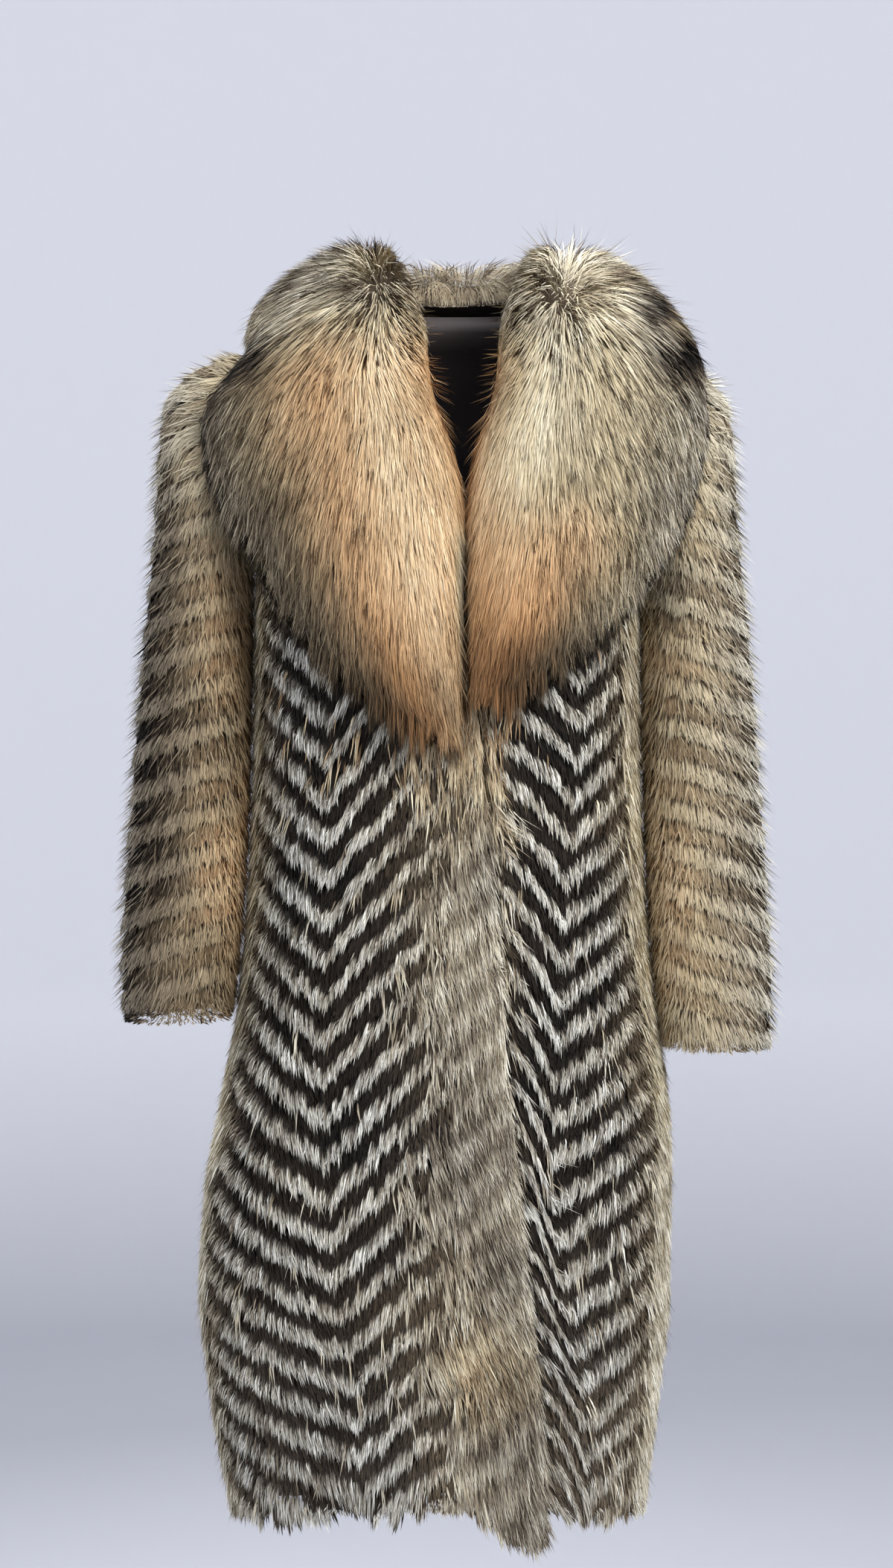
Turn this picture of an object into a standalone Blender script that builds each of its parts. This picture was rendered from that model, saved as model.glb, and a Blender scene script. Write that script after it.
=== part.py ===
"""Fur coat with a deep collar, hollow and open as it is worn.

Each piece that a furrier cuts and sews on is one closed solid: a wall that runs from the lining to the tips
of the fur.  +X is the wearer's left, the front faces -Y and Z is up.  The origin is the middle of the neck,
where the wearer's neck and shoulders hold the coat.  "Drop" is the distance down from the origin.
"""
import bisect
import math

import bmesh
import bpy
from mathutils import Vector

# ---- Driving sizes, in metres ----
HEM_DROP = 1.178            # neck to hem, at the back and sides
FRONT_LIFT = 0.026          # the hem rises by this much towards the middle of the front
CORNER_TAIL = 0.028         # the lock of long fur at the hem corner of the upper front hangs lower
SHOULDER_DROP = 0.052       # top of the armhole
UNDERARM_DROP = 0.253       # bottom of the armhole
ARM_PLANE = 0.186           # both armholes lie in upright planes at this X
SEAM = 0.0003               # space left between two solids at a seam
BODY_WALL = 0.031           # pelt and fur of the body
SLEEVE_WALL = 0.023         # pelt and fur of a sleeve
FLAP_WALL = 0.011           # the under front, where the upper front presses its fur flat
FLAP_SPACE = 0.002          # space between the two fronts where they lie on each other
CLOSING = (0.180, 0.223)    # drops between which the fronts come to lie on each other
ROUNDNESS = 2.3             # exponent of the body's rings: 2 is an ellipse
NECK_SHIFT = 0.018          # the neck and the V opening sit this far to the wearer's left

# ---- Ribs: bands of fur that run as chevrons round the body and as slanting rings round the sleeves ----
BODY_PITCH = 0.0372
SLEEVE_PITCH = 0.0395
RIB_DEPTH = 0.0065
RIB_CREST = 0.78            # where in one pitch the band stands proudest, just above its lower edge
INNER_RISE = 0.145          # a chevron climbs this much from its point to the front edge or back seam
OUTER_RISE = 0.095          # and this much from its point to the side seam
CHEVRON_START = (0.04, 0.42)  # drops between which the chevrons grow to their full rise
RIB_START = 0.17            # drop of the first groove, along the chevrons' points
BACK_POINT = 0.5            # the back's chevron points lie at this share of its half width
SLEEVE_TILT = 0.30          # slope of the sleeve bands, lower on the outside of the arm

# Rows of the body's mesh over the shoulders, above the ribs, as drops.
PLAIN_ROWS = (0.0, 0.006, 0.013, 0.021, 0.030, 0.041, SHOULDER_DROP, 0.072, 0.098, 0.128, 0.150)
SLEEVE_COLUMNS = 12
LEFT_SLEEVE_EXTRA = 0.026   # the wearer's left sleeve hangs lower by this much
CAP_LENGTH = 0.055          # the sleeve turns from the armhole's outline to its own ring along this length
CAP_CUTS = (0.012, 0.035)   # extra rings of mesh across the cap, where its wall turns

# Rings of the body, from the neck down.
BODY_ROWS = (
    # drop, centre, half_width, front, back
    (0.000, 0.012, 0.078, 0.050, 0.062),
    (0.013, 0.008, 0.120, 0.070, 0.082),
    (0.030, 0.004, 0.158, 0.085, 0.100),
    (0.052, 0.000, 0.186, 0.096, 0.116),
    (0.085, 0.000, 0.205, 0.105, 0.131),
    (0.125, 0.000, 0.212, 0.113, 0.143),
    (0.170, 0.000, 0.211, 0.121, 0.151),
    (0.215, 0.000, 0.201, 0.129, 0.155),
    (0.253, 0.000, 0.186, 0.136, 0.156),
    (0.320, 0.000, 0.1865, 0.146, 0.154),
    (0.440, 0.000, 0.1875, 0.154, 0.152),
    (0.540, 0.000, 0.1905, 0.157, 0.154),
    (0.620, 0.000, 0.1955, 0.160, 0.158),
    (0.700, 0.000, 0.2040, 0.163, 0.162),
    (0.785, -0.002, 0.217, 0.166, 0.166),
    (0.870, -0.008, 0.226, 0.168, 0.169),
    (0.970, -0.012, 0.228, 0.169, 0.170),
    (1.060, -0.012, 0.219, 0.166, 0.167),
    (1.120, -0.011, 0.211, 0.162, 0.163),
    (1.178, -0.009, 0.202, 0.157, 0.158),
)

# Front edges and the points of the two front chevrons, as X.
FRONT_ROWS = (
    # drop, upper_edge, under_edge, right_point, left_point
    (0.000, -0.034, 0.060, -0.070, 0.082),
    (0.050, -0.029, 0.056, -0.085, 0.100),
    (0.100, -0.020, 0.050, -0.100, 0.125),
    (0.170, 0.002, 0.037, -0.107, 0.128),
    (0.223, 0.019, 0.021, -0.107, 0.128),
    (0.300, 0.024, -0.014, -0.108, 0.128),
    (0.423, 0.031, -0.014, -0.110, 0.125),
    (0.554, 0.042, -0.003, -0.112, 0.113),
    (0.708, 0.054, 0.009, -0.115, 0.103),
    (0.862, 0.066, 0.021, -0.110, 0.099),
    (1.080, 0.088, 0.043, -0.084, 0.128),
    (1.178, 0.095, 0.050, -0.077, 0.134),
)

# Rings of a sleeve, along its middle line: the outermost and innermost points of each, and its half depth.
SLEEVE_ROWS = (
    # along, outer_x, outer_drop, inner_x, inner_drop, half_depth, centre_y
    (0.000, 0.1863, 0.052, 0.1863, 0.253, 0.072, 0.000),
    (0.030, 0.2320, 0.064, 0.1875, 0.262, 0.078, 0.000),
    (0.060, 0.2620, 0.086, 0.1878, 0.270, 0.081, 0.000),
    (0.095, 0.2780, 0.122, 0.1880, 0.280, 0.081, -0.001),
    (0.140, 0.2830, 0.182, 0.1882, 0.300, 0.079, -0.002),
    (0.190, 0.2870, 0.245, 0.1885, 0.330, 0.077, -0.004),
    (0.260, 0.2940, 0.320, 0.1890, 0.385, 0.075, -0.007),
    (0.360, 0.3030, 0.430, 0.1908, 0.470, 0.073, -0.011),
    (0.470, 0.3110, 0.545, 0.1950, 0.570, 0.071, -0.015),
    (0.570, 0.3165, 0.645, 0.2015, 0.655, 0.069, -0.018),
    (0.630, 0.3150, 0.705, 0.2085, 0.705, 0.065, -0.020),
)

# The collar's underside: where it starts at the neck, what it passes over and where it ends, for one side of
# the coat.  Thick is the depth of its fur and crest is where across the collar that is greatest.
COLLAR_ROWS = (
    # station, inner_x, inner_y, inner_z, mid_x, mid_y, mid_z, outer_x, outer_y, outer_z, thick, crest
    (0.0, 0.000, 0.0625, 0.0010, 0.000, 0.136, -0.050, 0.000, 0.174, -0.200, 0.072, 0.24),
    (1.0, 0.038, 0.0550, 0.0012, 0.080, 0.120, -0.044, 0.112, 0.162, -0.192, 0.070, 0.23),
    (2.0, 0.066, 0.0340, 0.0012, 0.138, 0.088, -0.036, 0.196, 0.112, -0.148, 0.058, 0.20),
    (3.0, 0.079, 0.0000, 0.0010, 0.154, 0.004, -0.014, 0.216, 0.010, -0.045, 0.052, 0.17),
    (4.0, 0.070, -0.0340, 0.0020, 0.150, -0.050, -0.020, 0.236, -0.050, -0.064, 0.052, 0.24),
    (4.5, 0.050, -0.082, -0.010, 0.143, -0.072, -0.032, 0.242, -0.060, -0.074, 0.055, 0.32),
    (5.0, 0.036, -0.098, -0.044, 0.135, -0.086, -0.050, 0.244, -0.066, -0.086, 0.058, 0.40),
    (6.0, 0.030, -0.112, -0.100, 0.135, -0.100, -0.112, 0.246, -0.082, -0.128, 0.058, 0.45),
    (7.0, 0.012, -0.126, -0.169, 0.125, -0.116, -0.180, 0.234, -0.088, -0.200, 0.057, 0.48),
    (8.0, 0.003, -0.138, -0.236, 0.108, -0.130, -0.246, 0.204, -0.092, -0.272, 0.054, 0.50),
    (9.0, 0.003, -0.150, -0.300, 0.083, -0.148, -0.318, 0.160, -0.116, -0.338, 0.049, 0.50),
    (10.0, 0.003, -0.157, -0.372, 0.056, -0.158, -0.386, 0.108, -0.144, -0.394, 0.040, 0.50),
    (11.0, 0.004, -0.161, -0.432, 0.026, -0.162, -0.436, 0.052, -0.160, -0.436, 0.022, 0.50),
)
# The collar sits closer on the wearer's right.  There its outer edge lies further in and higher than on the
# left, its fur is thinner and the crest is nearer to the neck.
RIGHT_ROWS = (
    # station, inward, upward, thinner, nearer
    (0.0, 0.000, 0.000, 0.000, 0.00),
    (1.0, 0.000, 0.000, 0.000, 0.00),
    (2.0, 0.000, 0.002, 0.000, 0.00),
    (3.0, 0.020, 0.004, 0.000, 0.03),
    (4.0, 0.045, 0.003, 0.003, 0.07),
    (4.5, 0.046, 0.002, 0.006, 0.08),
    (5.0, 0.040, -0.002, 0.008, 0.08),
    (6.0, 0.015, 0.004, 0.005, 0.04),
    (7.0, 0.011, 0.008, 0.003, 0.00),
    (8.0, 0.013, 0.013, 0.001, 0.00),
    (9.0, 0.008, 0.010, 0.000, 0.00),
    (10.0, 0.006, 0.008, 0.000, 0.00),
    (11.0, 0.016, 0.004, 0.000, 0.00),
)
COLLAR_SEAM = 5.6           # station of the seam between the upper collar and a lapel
LAPEL_TIP = 11.0
TIP_STATION = 8.0           # below this station the two lapels differ in length
LEFT_LAPEL_REACH = 0.81     # the wearer's left lapel is shorter
COLLAR_GAP = 0.004          # half the space at the collar's seams, in stations

COLOURS = {
    "body": (0.16, 0.13, 0.115),
    "sleeve": (0.34, 0.27, 0.20),
    "collar": (0.55, 0.36, 0.21),
}
FUR_ROUGHNESS = 0.85


class Table:
    """Smooth values between the rows of a table: its first column is the key, the others are named."""

    def __init__(self, names, rows):
        self.keys = [row[0] for row in rows]
        self.columns = {name: [row[i] for row in rows] for i, name in enumerate(names)}

    def read(self, name, key):
        keys, column = self.keys, self.columns[name]
        key = min(max(key, keys[0]), keys[-1])
        low = min(max(bisect.bisect_right(keys, key) - 1, 0), len(keys) - 2)
        span = keys[low + 1] - keys[low]
        t = (key - keys[low]) / span
        start, end = self._slope(column, low) * span, self._slope(column, low + 1) * span
        a, b = column[low], column[low + 1]
        return (a * (1 + 2 * t) * (1 - t) ** 2 + start * t * (1 - t) ** 2
                + b * t * t * (3 - 2 * t) + end * t * t * (t - 1))

    def _slope(self, column, i):
        """Slope at row i that never overshoots its neighbours."""
        keys = self.keys
        if i in (0, len(keys) - 1):
            j = max(i, 1)
            return (column[j] - column[j - 1]) / (keys[j] - keys[j - 1])
        before = (column[i] - column[i - 1]) / (keys[i] - keys[i - 1])
        after = (column[i + 1] - column[i]) / (keys[i + 1] - keys[i])
        return 0.0 if before * after <= 0 else 2 * before * after / (before + after)


BODY = Table(("drop", "centre", "half_width", "front", "back"), BODY_ROWS)
FRONT = Table(("drop", "upper_edge", "under_edge", "right_point", "left_point"), FRONT_ROWS)
SLEEVE = Table(("along", "outer_x", "outer_drop", "inner_x", "inner_drop", "half_depth", "centre_y"),
               SLEEVE_ROWS)
COLLAR = Table(("station", "inner_x", "inner_y", "inner_z", "mid_x", "mid_y", "mid_z",
                "outer_x", "outer_y", "outer_z", "thick", "crest"), COLLAR_ROWS)
RIGHT = Table(("station", "inward", "upward", "thinner", "nearer"), RIGHT_ROWS)


def smooth(low, high, value):
    """0 below low, 1 above high and an even S between."""
    t = min(max((value - low) / (high - low), 0.0), 1.0)
    return t * t * (3 - 2 * t)


def signed_power(value, exponent):
    return math.copysign(abs(value) ** exponent, value)


def normal_at(surface, u, v, step_u, step_v):
    """Unit normal of surface(u, v), from points a small step to each side."""
    along_u = surface(u + step_u, v) - surface(u - step_u, v)
    along_v = surface(u, v + step_v) - surface(u, v - step_v)
    return along_u.cross(along_v).normalized()


# ---- Walls ----

def flat_sheet(columns, rows, cuts, ends):
    """Flat mesh of a cut piece.

    Points are (column, place down the piece, rib height).  rows holds, for each row, a function of the column
    that gives the place, and the row's rib height.  The sheet is cut across at each value of cuts and
    trimmed to the places in ends.
    """
    sheet = bmesh.new()
    grid = [[sheet.verts.new((column, place(column), height)) for column in columns] for place, height in rows]
    for upper, lower in zip(grid, grid[1:]):
        for i in range(len(columns) - 1):
            sheet.faces.new((upper[i], lower[i], lower[i + 1], upper[i + 1]))
    for place in cuts:
        bmesh.ops.bisect_plane(sheet, geom=sheet.verts[:] + sheet.edges[:] + sheet.faces[:], dist=1e-6,
                               plane_co=(0, place, 0), plane_no=(0, 1, 0))
    for place, outward in zip(ends, (-1, 1)):
        bmesh.ops.bisect_plane(sheet, geom=sheet.verts[:] + sheet.edges[:] + sheet.faces[:], dist=1e-6,
                               plane_co=(0, place, 0), plane_no=(0, outward, 0), clear_outer=True)
    return sheet


def wall_from_sheet(sheet, outer, inner, closed_columns=0):
    """Closed wall over a flat sheet: outer(u, v, height) on the fur side and inner(u, v) on the lining side."""
    wall = bmesh.new()
    sheet.verts.index_update()
    made = {}

    def corner(vert):
        u, v, height = vert.co
        place = (round(u % closed_columns, 4) % closed_columns, round(v, 6)) if closed_columns else vert.index
        if place not in made:
            made[place] = (wall.verts.new(outer(u, v, height)), wall.verts.new(inner(u, v)))
        return made[place]

    sides = {}
    for face in sheet.faces:
        corners = [corner(vert) for vert in face.verts]
        wall.faces.new([pair[0] for pair in corners])
        wall.faces.new([pair[1] for pair in reversed(corners)])
        for first, second in zip(corners, corners[1:] + corners[:1]):
            twin = (second[0], first[0])
            if twin in sides:
                del sides[twin]
            else:
                sides[first[0], second[0]] = (first, second)
    for first, second in sides.values():
        wall.faces.new((second[0], first[0], first[1], second[1]))
    sheet.free()
    return wall


def rib_rows(start, end, pitch):
    """Places and heights of the rows that make the ribs: a groove, then a crest just above the next groove."""
    rows = []
    for i in range(math.ceil((end - start) / pitch) + 1):
        rows.append((start + i * pitch, -RIB_DEPTH))
        rows.append((start + (i + RIB_CREST) * pitch, 0.0))
    return rows


# ---- Body: upper front, under front and back ----

def body_angle(drop, x):
    """Angle round the body's ring, from the wearer's left side, at which the ring reaches x."""
    ratio = (x - BODY.read("centre", drop)) / BODY.read("half_width", drop)
    return math.acos(signed_power(min(max(ratio, -1.0), 1.0), ROUNDNESS / 2))


def side_angle(drop, side):
    """Angle of the side seam, or of the armhole's edge beside it; side is +1 on the wearer's left."""
    if SHOULDER_DROP < drop < UNDERARM_DROP:
        return body_angle(drop, side * ARM_PLANE)
    return 0.0 if side > 0 else math.pi


def body_point(drop, angle, depth):
    """Point on the fur side of the body; depth is "front" or "back"."""
    cosine, sine = math.cos(angle), math.sin(angle)
    away = -1 if depth == "front" else 1
    x = BODY.read("centre", drop) + BODY.read("half_width", drop) * signed_power(cosine, 2 / ROUNDNESS)
    y = away * (BODY.read(depth, drop) * abs(sine) ** (2 / ROUNDNESS) + SEAM / 2)
    lift = FRONT_LIFT * sine ** 2 * smooth(HEM_DROP - 0.30, HEM_DROP, drop) if depth == "front" else 0.0
    return Vector((x, y, lift - drop))


class Stop:
    """An edge, chevron point or seam line of a body panel, and how its chevrons and ribs are there."""

    def __init__(self, angle, rise, ribs, columns=0):
        self.angle = angle          # function of the drop
        self.rise = rise            # how far the chevrons stand above their points
        self.ribs = ribs            # share of the full rib depth
        self.columns = columns      # mesh columns from here to the next stop


class Panel:
    """A cut piece of the body between two edges."""

    def __init__(self, name, depth, stops, outer_loss=None, inner_loss=None, tail=None):
        self.name, self.depth, self.stops = name, depth, stops
        self.places = [sum(stop.columns for stop in stops[:i]) for i in range(len(stops))]
        self.outer_loss = outer_loss or (lambda u, drop: 0.0)
        self.inner_loss = inner_loss or (lambda u, drop: 0.0)
        self.tail = tail or (lambda u, drop: 0.0)

    def blend(self, u, values):
        """Value at column u, in straight lines between the stops."""
        u = min(max(u, 0.0), self.places[-1])
        i = min(bisect.bisect_right(self.places, u) - 1, len(self.places) - 2)
        t = (u - self.places[i]) / (self.places[i + 1] - self.places[i])
        return values[i] * (1 - t) + values[i + 1] * t

    def surface(self, u, drop):
        angle = self.blend(u, [stop.angle(drop) for stop in self.stops])
        point = body_point(drop, angle, self.depth)
        point.z -= self.tail(u, drop)
        return point

    def outward(self, u, drop):
        """Direction across the wall; at an armhole it turns into the armhole's plane."""
        inside = min(max(u, 0.02), self.places[-1] - 0.02)
        normal = normal_at(self.surface, inside, max(drop, 0.001), 0.02, 0.001)
        if normal.xy.dot(self.surface(u, drop).xy) < 0:
            normal.negate()
        edge = max(smooth(1.0, 0.0, u) if self.depth == "back" else 0.0, smooth(-1.0, 0.0, u - self.places[-1]))
        if SHOULDER_DROP < drop < UNDERARM_DROP and edge > 0:
            point = self.surface(u, drop)
            middle = -(SHOULDER_DROP + UNDERARM_DROP) / 2
            normal = normal.lerp(Vector((0, point.y, point.z - middle)).normalized(), edge)
        at_seam = u >= self.places[-1] or (self.depth == "back" and u <= 0)
        if at_seam and not SHOULDER_DROP < drop < UNDERARM_DROP:
            normal.y = 0
        return normal.normalized()

    def outer(self, u, drop, height):
        ribs = self.blend(u, [stop.ribs for stop in self.stops]) * height
        return self.surface(u, drop) + self.outward(u, drop) * (ribs - self.outer_loss(u, drop))

    def inner(self, u, drop):
        return self.surface(u, drop) - self.outward(u, drop) * (BODY_WALL - self.inner_loss(u, drop))

    def rows(self):
        """Plain rows over the shoulders, then chevron rows with their ribs."""
        def row(base, height):
            share = smooth(*CHEVRON_START, base)
            rises = [stop.rise * share for stop in self.stops]
            return (lambda u: base - self.blend(u, rises)), height

        ribbed = rib_rows(RIB_START, HEM_DROP + max(stop.rise for stop in self.stops), BODY_PITCH)
        return [row(base, 0.0) for base in PLAIN_ROWS] + [row(base, height) for base, height in ribbed]

    def build(self):
        sheet = flat_sheet(range(self.places[-1] + 1), self.rows(), (UNDERARM_DROP,), (0.0, HEM_DROP))
        return wall_from_sheet(sheet, self.outer, self.inner)


def upper_front():
    """The wearer's right front, which closes over the other one and has a long lock at its hem corner."""
    stops = [
        Stop(lambda drop: body_angle(drop, FRONT.read("upper_edge", drop)), INNER_RISE, 0.3, columns=3),
        Stop(lambda drop: body_angle(drop, FRONT.read("right_point", drop)), 0.0, 1.0, columns=3),
        Stop(lambda drop: side_angle(drop, -1), OUTER_RISE, 0.6),
    ]

    def inner_loss(u, drop):
        """The lining side gives way to the under front."""
        return (FLAP_WALL + FLAP_SPACE) * smooth(1.9, 1.0, u) * smooth(*CLOSING, drop)

    def tail(u, drop):
        return CORNER_TAIL * smooth(1.6, 0.4, u) * smooth(HEM_DROP - 0.10, HEM_DROP, drop)

    return Panel("front_upper", "front", stops, inner_loss=inner_loss, tail=tail)


def under_front():
    """The wearer's left front, whose edge lies flat behind the other one."""
    def edge(drop, extra):
        """Angle just past the upper front's edge, or past this front's own edge above the closing."""
        return body_angle(drop, max(FRONT.read("upper_edge", drop), FRONT.read("under_edge", drop)) + extra)

    stops = [
        Stop(lambda drop: body_angle(drop, FRONT.read("under_edge", drop)), INNER_RISE * 0.8, 0.0, columns=1),
        Stop(lambda drop: edge(drop, 0.003), INNER_RISE * 0.5, 0.0, columns=1),
        Stop(lambda drop: edge(drop, 0.014), INNER_RISE * 0.42, 0.5, columns=2),
        Stop(lambda drop: body_angle(drop, FRONT.read("left_point", drop)), 0.0, 1.0, columns=2),
        Stop(lambda drop: side_angle(drop, 1), OUTER_RISE, 0.6),
    ]

    def outer_loss(u, drop):
        """The fur is pressed flat where the upper front lies on it."""
        return (BODY_WALL - FLAP_WALL) * smooth(2.0, 1.0, u) * smooth(*CLOSING, drop)

    return Panel("front_under", "front", stops, outer_loss=outer_loss)


def back():
    """The back, with one chevron to each side of its middle."""
    def point(side):
        return lambda drop: body_angle(drop, side * BACK_POINT * BODY.read("half_width", drop))

    stops = [
        Stop(lambda drop: side_angle(drop, -1), OUTER_RISE, 0.6, columns=3),
        Stop(point(-1), 0.0, 1.0, columns=3),
        Stop(lambda drop: math.pi / 2, INNER_RISE, 0.6, columns=3),
        Stop(point(1), 0.0, 1.0, columns=3),
        Stop(lambda drop: side_angle(drop, 1), OUTER_RISE, 0.6),
    ]
    return Panel("back", "back", stops)


# ---- Sleeves ----

class Sleeve:
    """A sleeve from its armhole to its open cuff; side is +1 on the wearer's left."""

    def __init__(self, name, side, extra):
        self.name, self.side, self.extra = name, side, extra
        self.length = SLEEVE.keys[-1]

    def ring(self, turn, along):
        """Point of the sleeve's own ring; turn is 0 on the outside of the arm and a quarter at the front."""
        read = SLEEVE.read
        longer = self.extra * smooth(0.2, self.length, along)
        top = Vector((read("outer_x", along), 0, -read("outer_drop", along) - longer))
        low = Vector((read("inner_x", along), 0, -read("inner_drop", along) - longer))
        angle = turn * math.tau
        point = (top + low) / 2 + (top - low) / 2 * math.cos(angle)
        point.y = read("centre_y", along) - read("half_depth", along) * math.sin(angle)
        return point

    def armhole(self, turn):
        """Point of the body's outline in the armhole's plane."""
        angle = turn * math.tau
        middle, half = (SHOULDER_DROP + UNDERARM_DROP) / 2, (UNDERARM_DROP - SHOULDER_DROP) / 2
        drop = middle - half * math.cos(angle)
        depth = "front" if math.sin(angle) > 0 else "back"
        point = body_point(drop, body_angle(drop, ARM_PLANE), depth)
        point.x = ARM_PLANE + SEAM
        return point

    def surface(self, turn, along):
        share = 1 - (1 - min(along / CAP_LENGTH, 1.0)) ** 2
        point = self.ring(turn, along)
        if share < 1:
            point = self.armhole(turn).lerp(point, share)
        point.x *= self.side
        return point

    def outward(self, turn, along):
        """Direction across the wall, which at the armhole lies in the armhole's plane."""
        inside = min(max(along, 0.004), self.length - 0.002)
        normal = normal_at(self.surface, turn, inside, 0.01, 0.002) * self.side
        middle = -(SHOULDER_DROP + UNDERARM_DROP) / 2
        point = self.surface(turn, along)
        in_plane = Vector((0, point.y, point.z - middle)).normalized()
        direction = in_plane.lerp(normal, smooth(0.0, 0.03, along)).normalized()
        room = 0.5 * (abs(point.x) - ARM_PLANE - SEAM) / SLEEVE_WALL
        if direction.x * self.side > room:
            across = Vector((0, direction.y, direction.z)).normalized() * math.sqrt(max(1 - room * room, 0.0))
            direction = Vector((room * self.side, across.y, across.z))
        return direction

    def band(self, point):
        """Place down the sleeve on the slanting bands."""
        drop = -point.z
        return drop - SLEEVE_TILT * smooth(0.06, 0.20, drop) * (abs(point.x) - ARM_PLANE)

    def along_at(self, turn, band):
        """Place along the sleeve at which one of its lines crosses a band, carried on past both ends."""
        start, end = (self.band(self.surface(turn, along)) for along in (0.0, self.length))
        if band <= start:
            return band - start
        if band >= end:
            return self.length + band - end
        low, high = 0.0, self.length
        for _ in range(30):
            middle = (low + high) / 2
            if self.band(self.surface(turn, middle)) < band:
                low = middle
            else:
                high = middle
        return (low + high) / 2

    def rows(self):
        def row(band, height):
            return (lambda column: self.along_at(column / SLEEVE_COLUMNS, band)), height

        last = self.band(self.surface(0.5, self.length)) + 0.01
        ribbed = rib_rows(SHOULDER_DROP + 0.5 * SLEEVE_PITCH, last, SLEEVE_PITCH)
        first = [(SHOULDER_DROP - 0.03, 0.0), (SHOULDER_DROP + 0.004, 0.0)]
        return [row(band, height) for band, height in first + ribbed]

    def build(self):
        sheet = flat_sheet(range(SLEEVE_COLUMNS + 1), self.rows(), CAP_CUTS, (0.0, self.length))
        if self.side < 0:
            bmesh.ops.reverse_faces(sheet, faces=sheet.faces[:])

        def outer(column, along, height):
            turn = column / SLEEVE_COLUMNS
            return self.surface(turn, along) + self.outward(turn, along) * height * smooth(0.0, 0.04, along)

        def inner(column, along):
            turn = column / SLEEVE_COLUMNS
            return self.surface(turn, along) - self.outward(turn, along) * SLEEVE_WALL

        return wall_from_sheet(sheet, outer, inner, closed_columns=SLEEVE_COLUMNS)


# ---- Collar ----

ACROSS = 8                  # steps across a collar section
COLLAR_STEP = 0.5           # stations between two sections of the mesh


def collar_underside(station, across):
    """Point under the collar; station is negative on the wearer's right, across runs from neck to edge."""
    side = 1 if station >= 0 else -1
    key = abs(station)

    def read(name):
        return COLLAR.read(name, key)

    near, mid, far = (Vector((read(f"{part}_x"), read(f"{part}_y"), read(f"{part}_z")))
                      for part in ("inner", "mid", "outer"))
    point = near * ((1 - across) * (1 - 2 * across)) + mid * (4 * across * (1 - across))
    point += far * (across * (2 * across - 1))
    if side < 0:
        point += Vector((-RIGHT.read("inward", key), 0.0, RIGHT.read("upward", key))) * across
    tip = COLLAR.read("inner_z", TIP_STATION)
    if side > 0 and point.z < tip:
        point.z = tip + (point.z - tip) * LEFT_LAPEL_REACH
    shift = NECK_SHIFT * (1 - min(point.x / 0.24, 1.0)) * smooth(1.0, 4.0, key)
    point.x = side * max(point.x, 0.0 if key < 1 else 0.0015) + shift
    return point


def collar_thickness(station, across):
    """Depth of the collar's fur, nothing at both edges and greatest at the crest."""
    key = abs(station)
    crest, thick = COLLAR.read("crest", key), COLLAR.read("thick", key)
    if station < 0:
        crest, thick = crest - RIGHT.read("nearer", key), thick - RIGHT.read("thinner", key)
    skewed = across ** (math.log(0.5) / math.log(crest))
    return thick * math.sin(math.pi * skewed) ** 0.5


def collar_section(station):
    """Closed loop of points round one section: over the fur from neck to edge, and back underneath."""
    steps = [(1 - math.cos(math.pi * i / ACROSS)) / 2 for i in range(ACROSS + 1)]
    over = []
    for across in steps:
        inside = min(max(across, 0.02), 0.98)
        normal = normal_at(collar_underside, station, inside, 0.05, 0.02)
        over.append(collar_underside(station, across) + normal * collar_thickness(station, across))
    under = [collar_underside(station, across) for across in steps[-2:0:-2]]
    return over + under


def collar_piece(start, end):
    """Loft of collar sections between two stations, with a flat cap at each end."""
    count = max(round((end - start) / COLLAR_STEP), 1)
    piece = bmesh.new()
    loops = [[piece.verts.new(point) for point in collar_section(start + (end - start) * i / count)]
             for i in range(count + 1)]
    size = len(loops[0])
    for before, after in zip(loops, loops[1:]):
        for i in range(size):
            j = (i + 1) % size
            piece.faces.new((before[i], before[j], after[j], after[i]))
    piece.faces.new(reversed(loops[0]))
    piece.faces.new(loops[-1])
    return piece


# ---- The coat ----

def fur_material(name):
    material = bpy.data.materials.new(f"{name}_fur")
    material.use_nodes = True
    shader = material.node_tree.nodes["Principled BSDF"]
    shader.inputs["Base Color"].default_value = (*COLOURS[name], 1.0)
    shader.inputs["Roughness"].default_value = FUR_ROUGHNESS
    shader.inputs["Metallic"].default_value = 0.0
    return material


def add_piece(collection, name, solid, material):
    """Put a closed solid in the scene as one named object, with its faces pointing out."""
    bmesh.ops.triangulate(solid, faces=solid.faces[:])
    bmesh.ops.recalc_face_normals(solid, faces=solid.faces[:])
    mesh = bpy.data.meshes.new(name)
    solid.to_mesh(mesh)
    solid.free()
    mesh.materials.append(material)
    mesh.shade_smooth()
    collection.objects.link(bpy.data.objects.new(name, mesh))


def main():
    for old in list(bpy.data.objects):
        bpy.data.objects.remove(old, do_unlink=True)
    coat = bpy.data.collections.new("fur_coat")
    bpy.context.scene.collection.children.link(coat)
    body, sleeve, collar = (fur_material(name) for name in ("body", "sleeve", "collar"))
    for panel in (upper_front(), under_front(), back()):
        add_piece(coat, panel.name, panel.build(), body)
    for arm in (Sleeve("sleeve_right", -1, 0.0), Sleeve("sleeve_left", 1, LEFT_SLEEVE_EXTRA)):
        add_piece(coat, arm.name, arm.build(), sleeve)
    add_piece(coat, "lapel_right", collar_piece(-LAPEL_TIP, -COLLAR_SEAM - COLLAR_GAP), collar)
    add_piece(coat, "collar_upper", collar_piece(-COLLAR_SEAM + COLLAR_GAP, COLLAR_SEAM - COLLAR_GAP), collar)
    add_piece(coat, "lapel_left", collar_piece(COLLAR_SEAM + COLLAR_GAP, LAPEL_TIP), collar)


if __name__ == "__main__":
    main()
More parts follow.
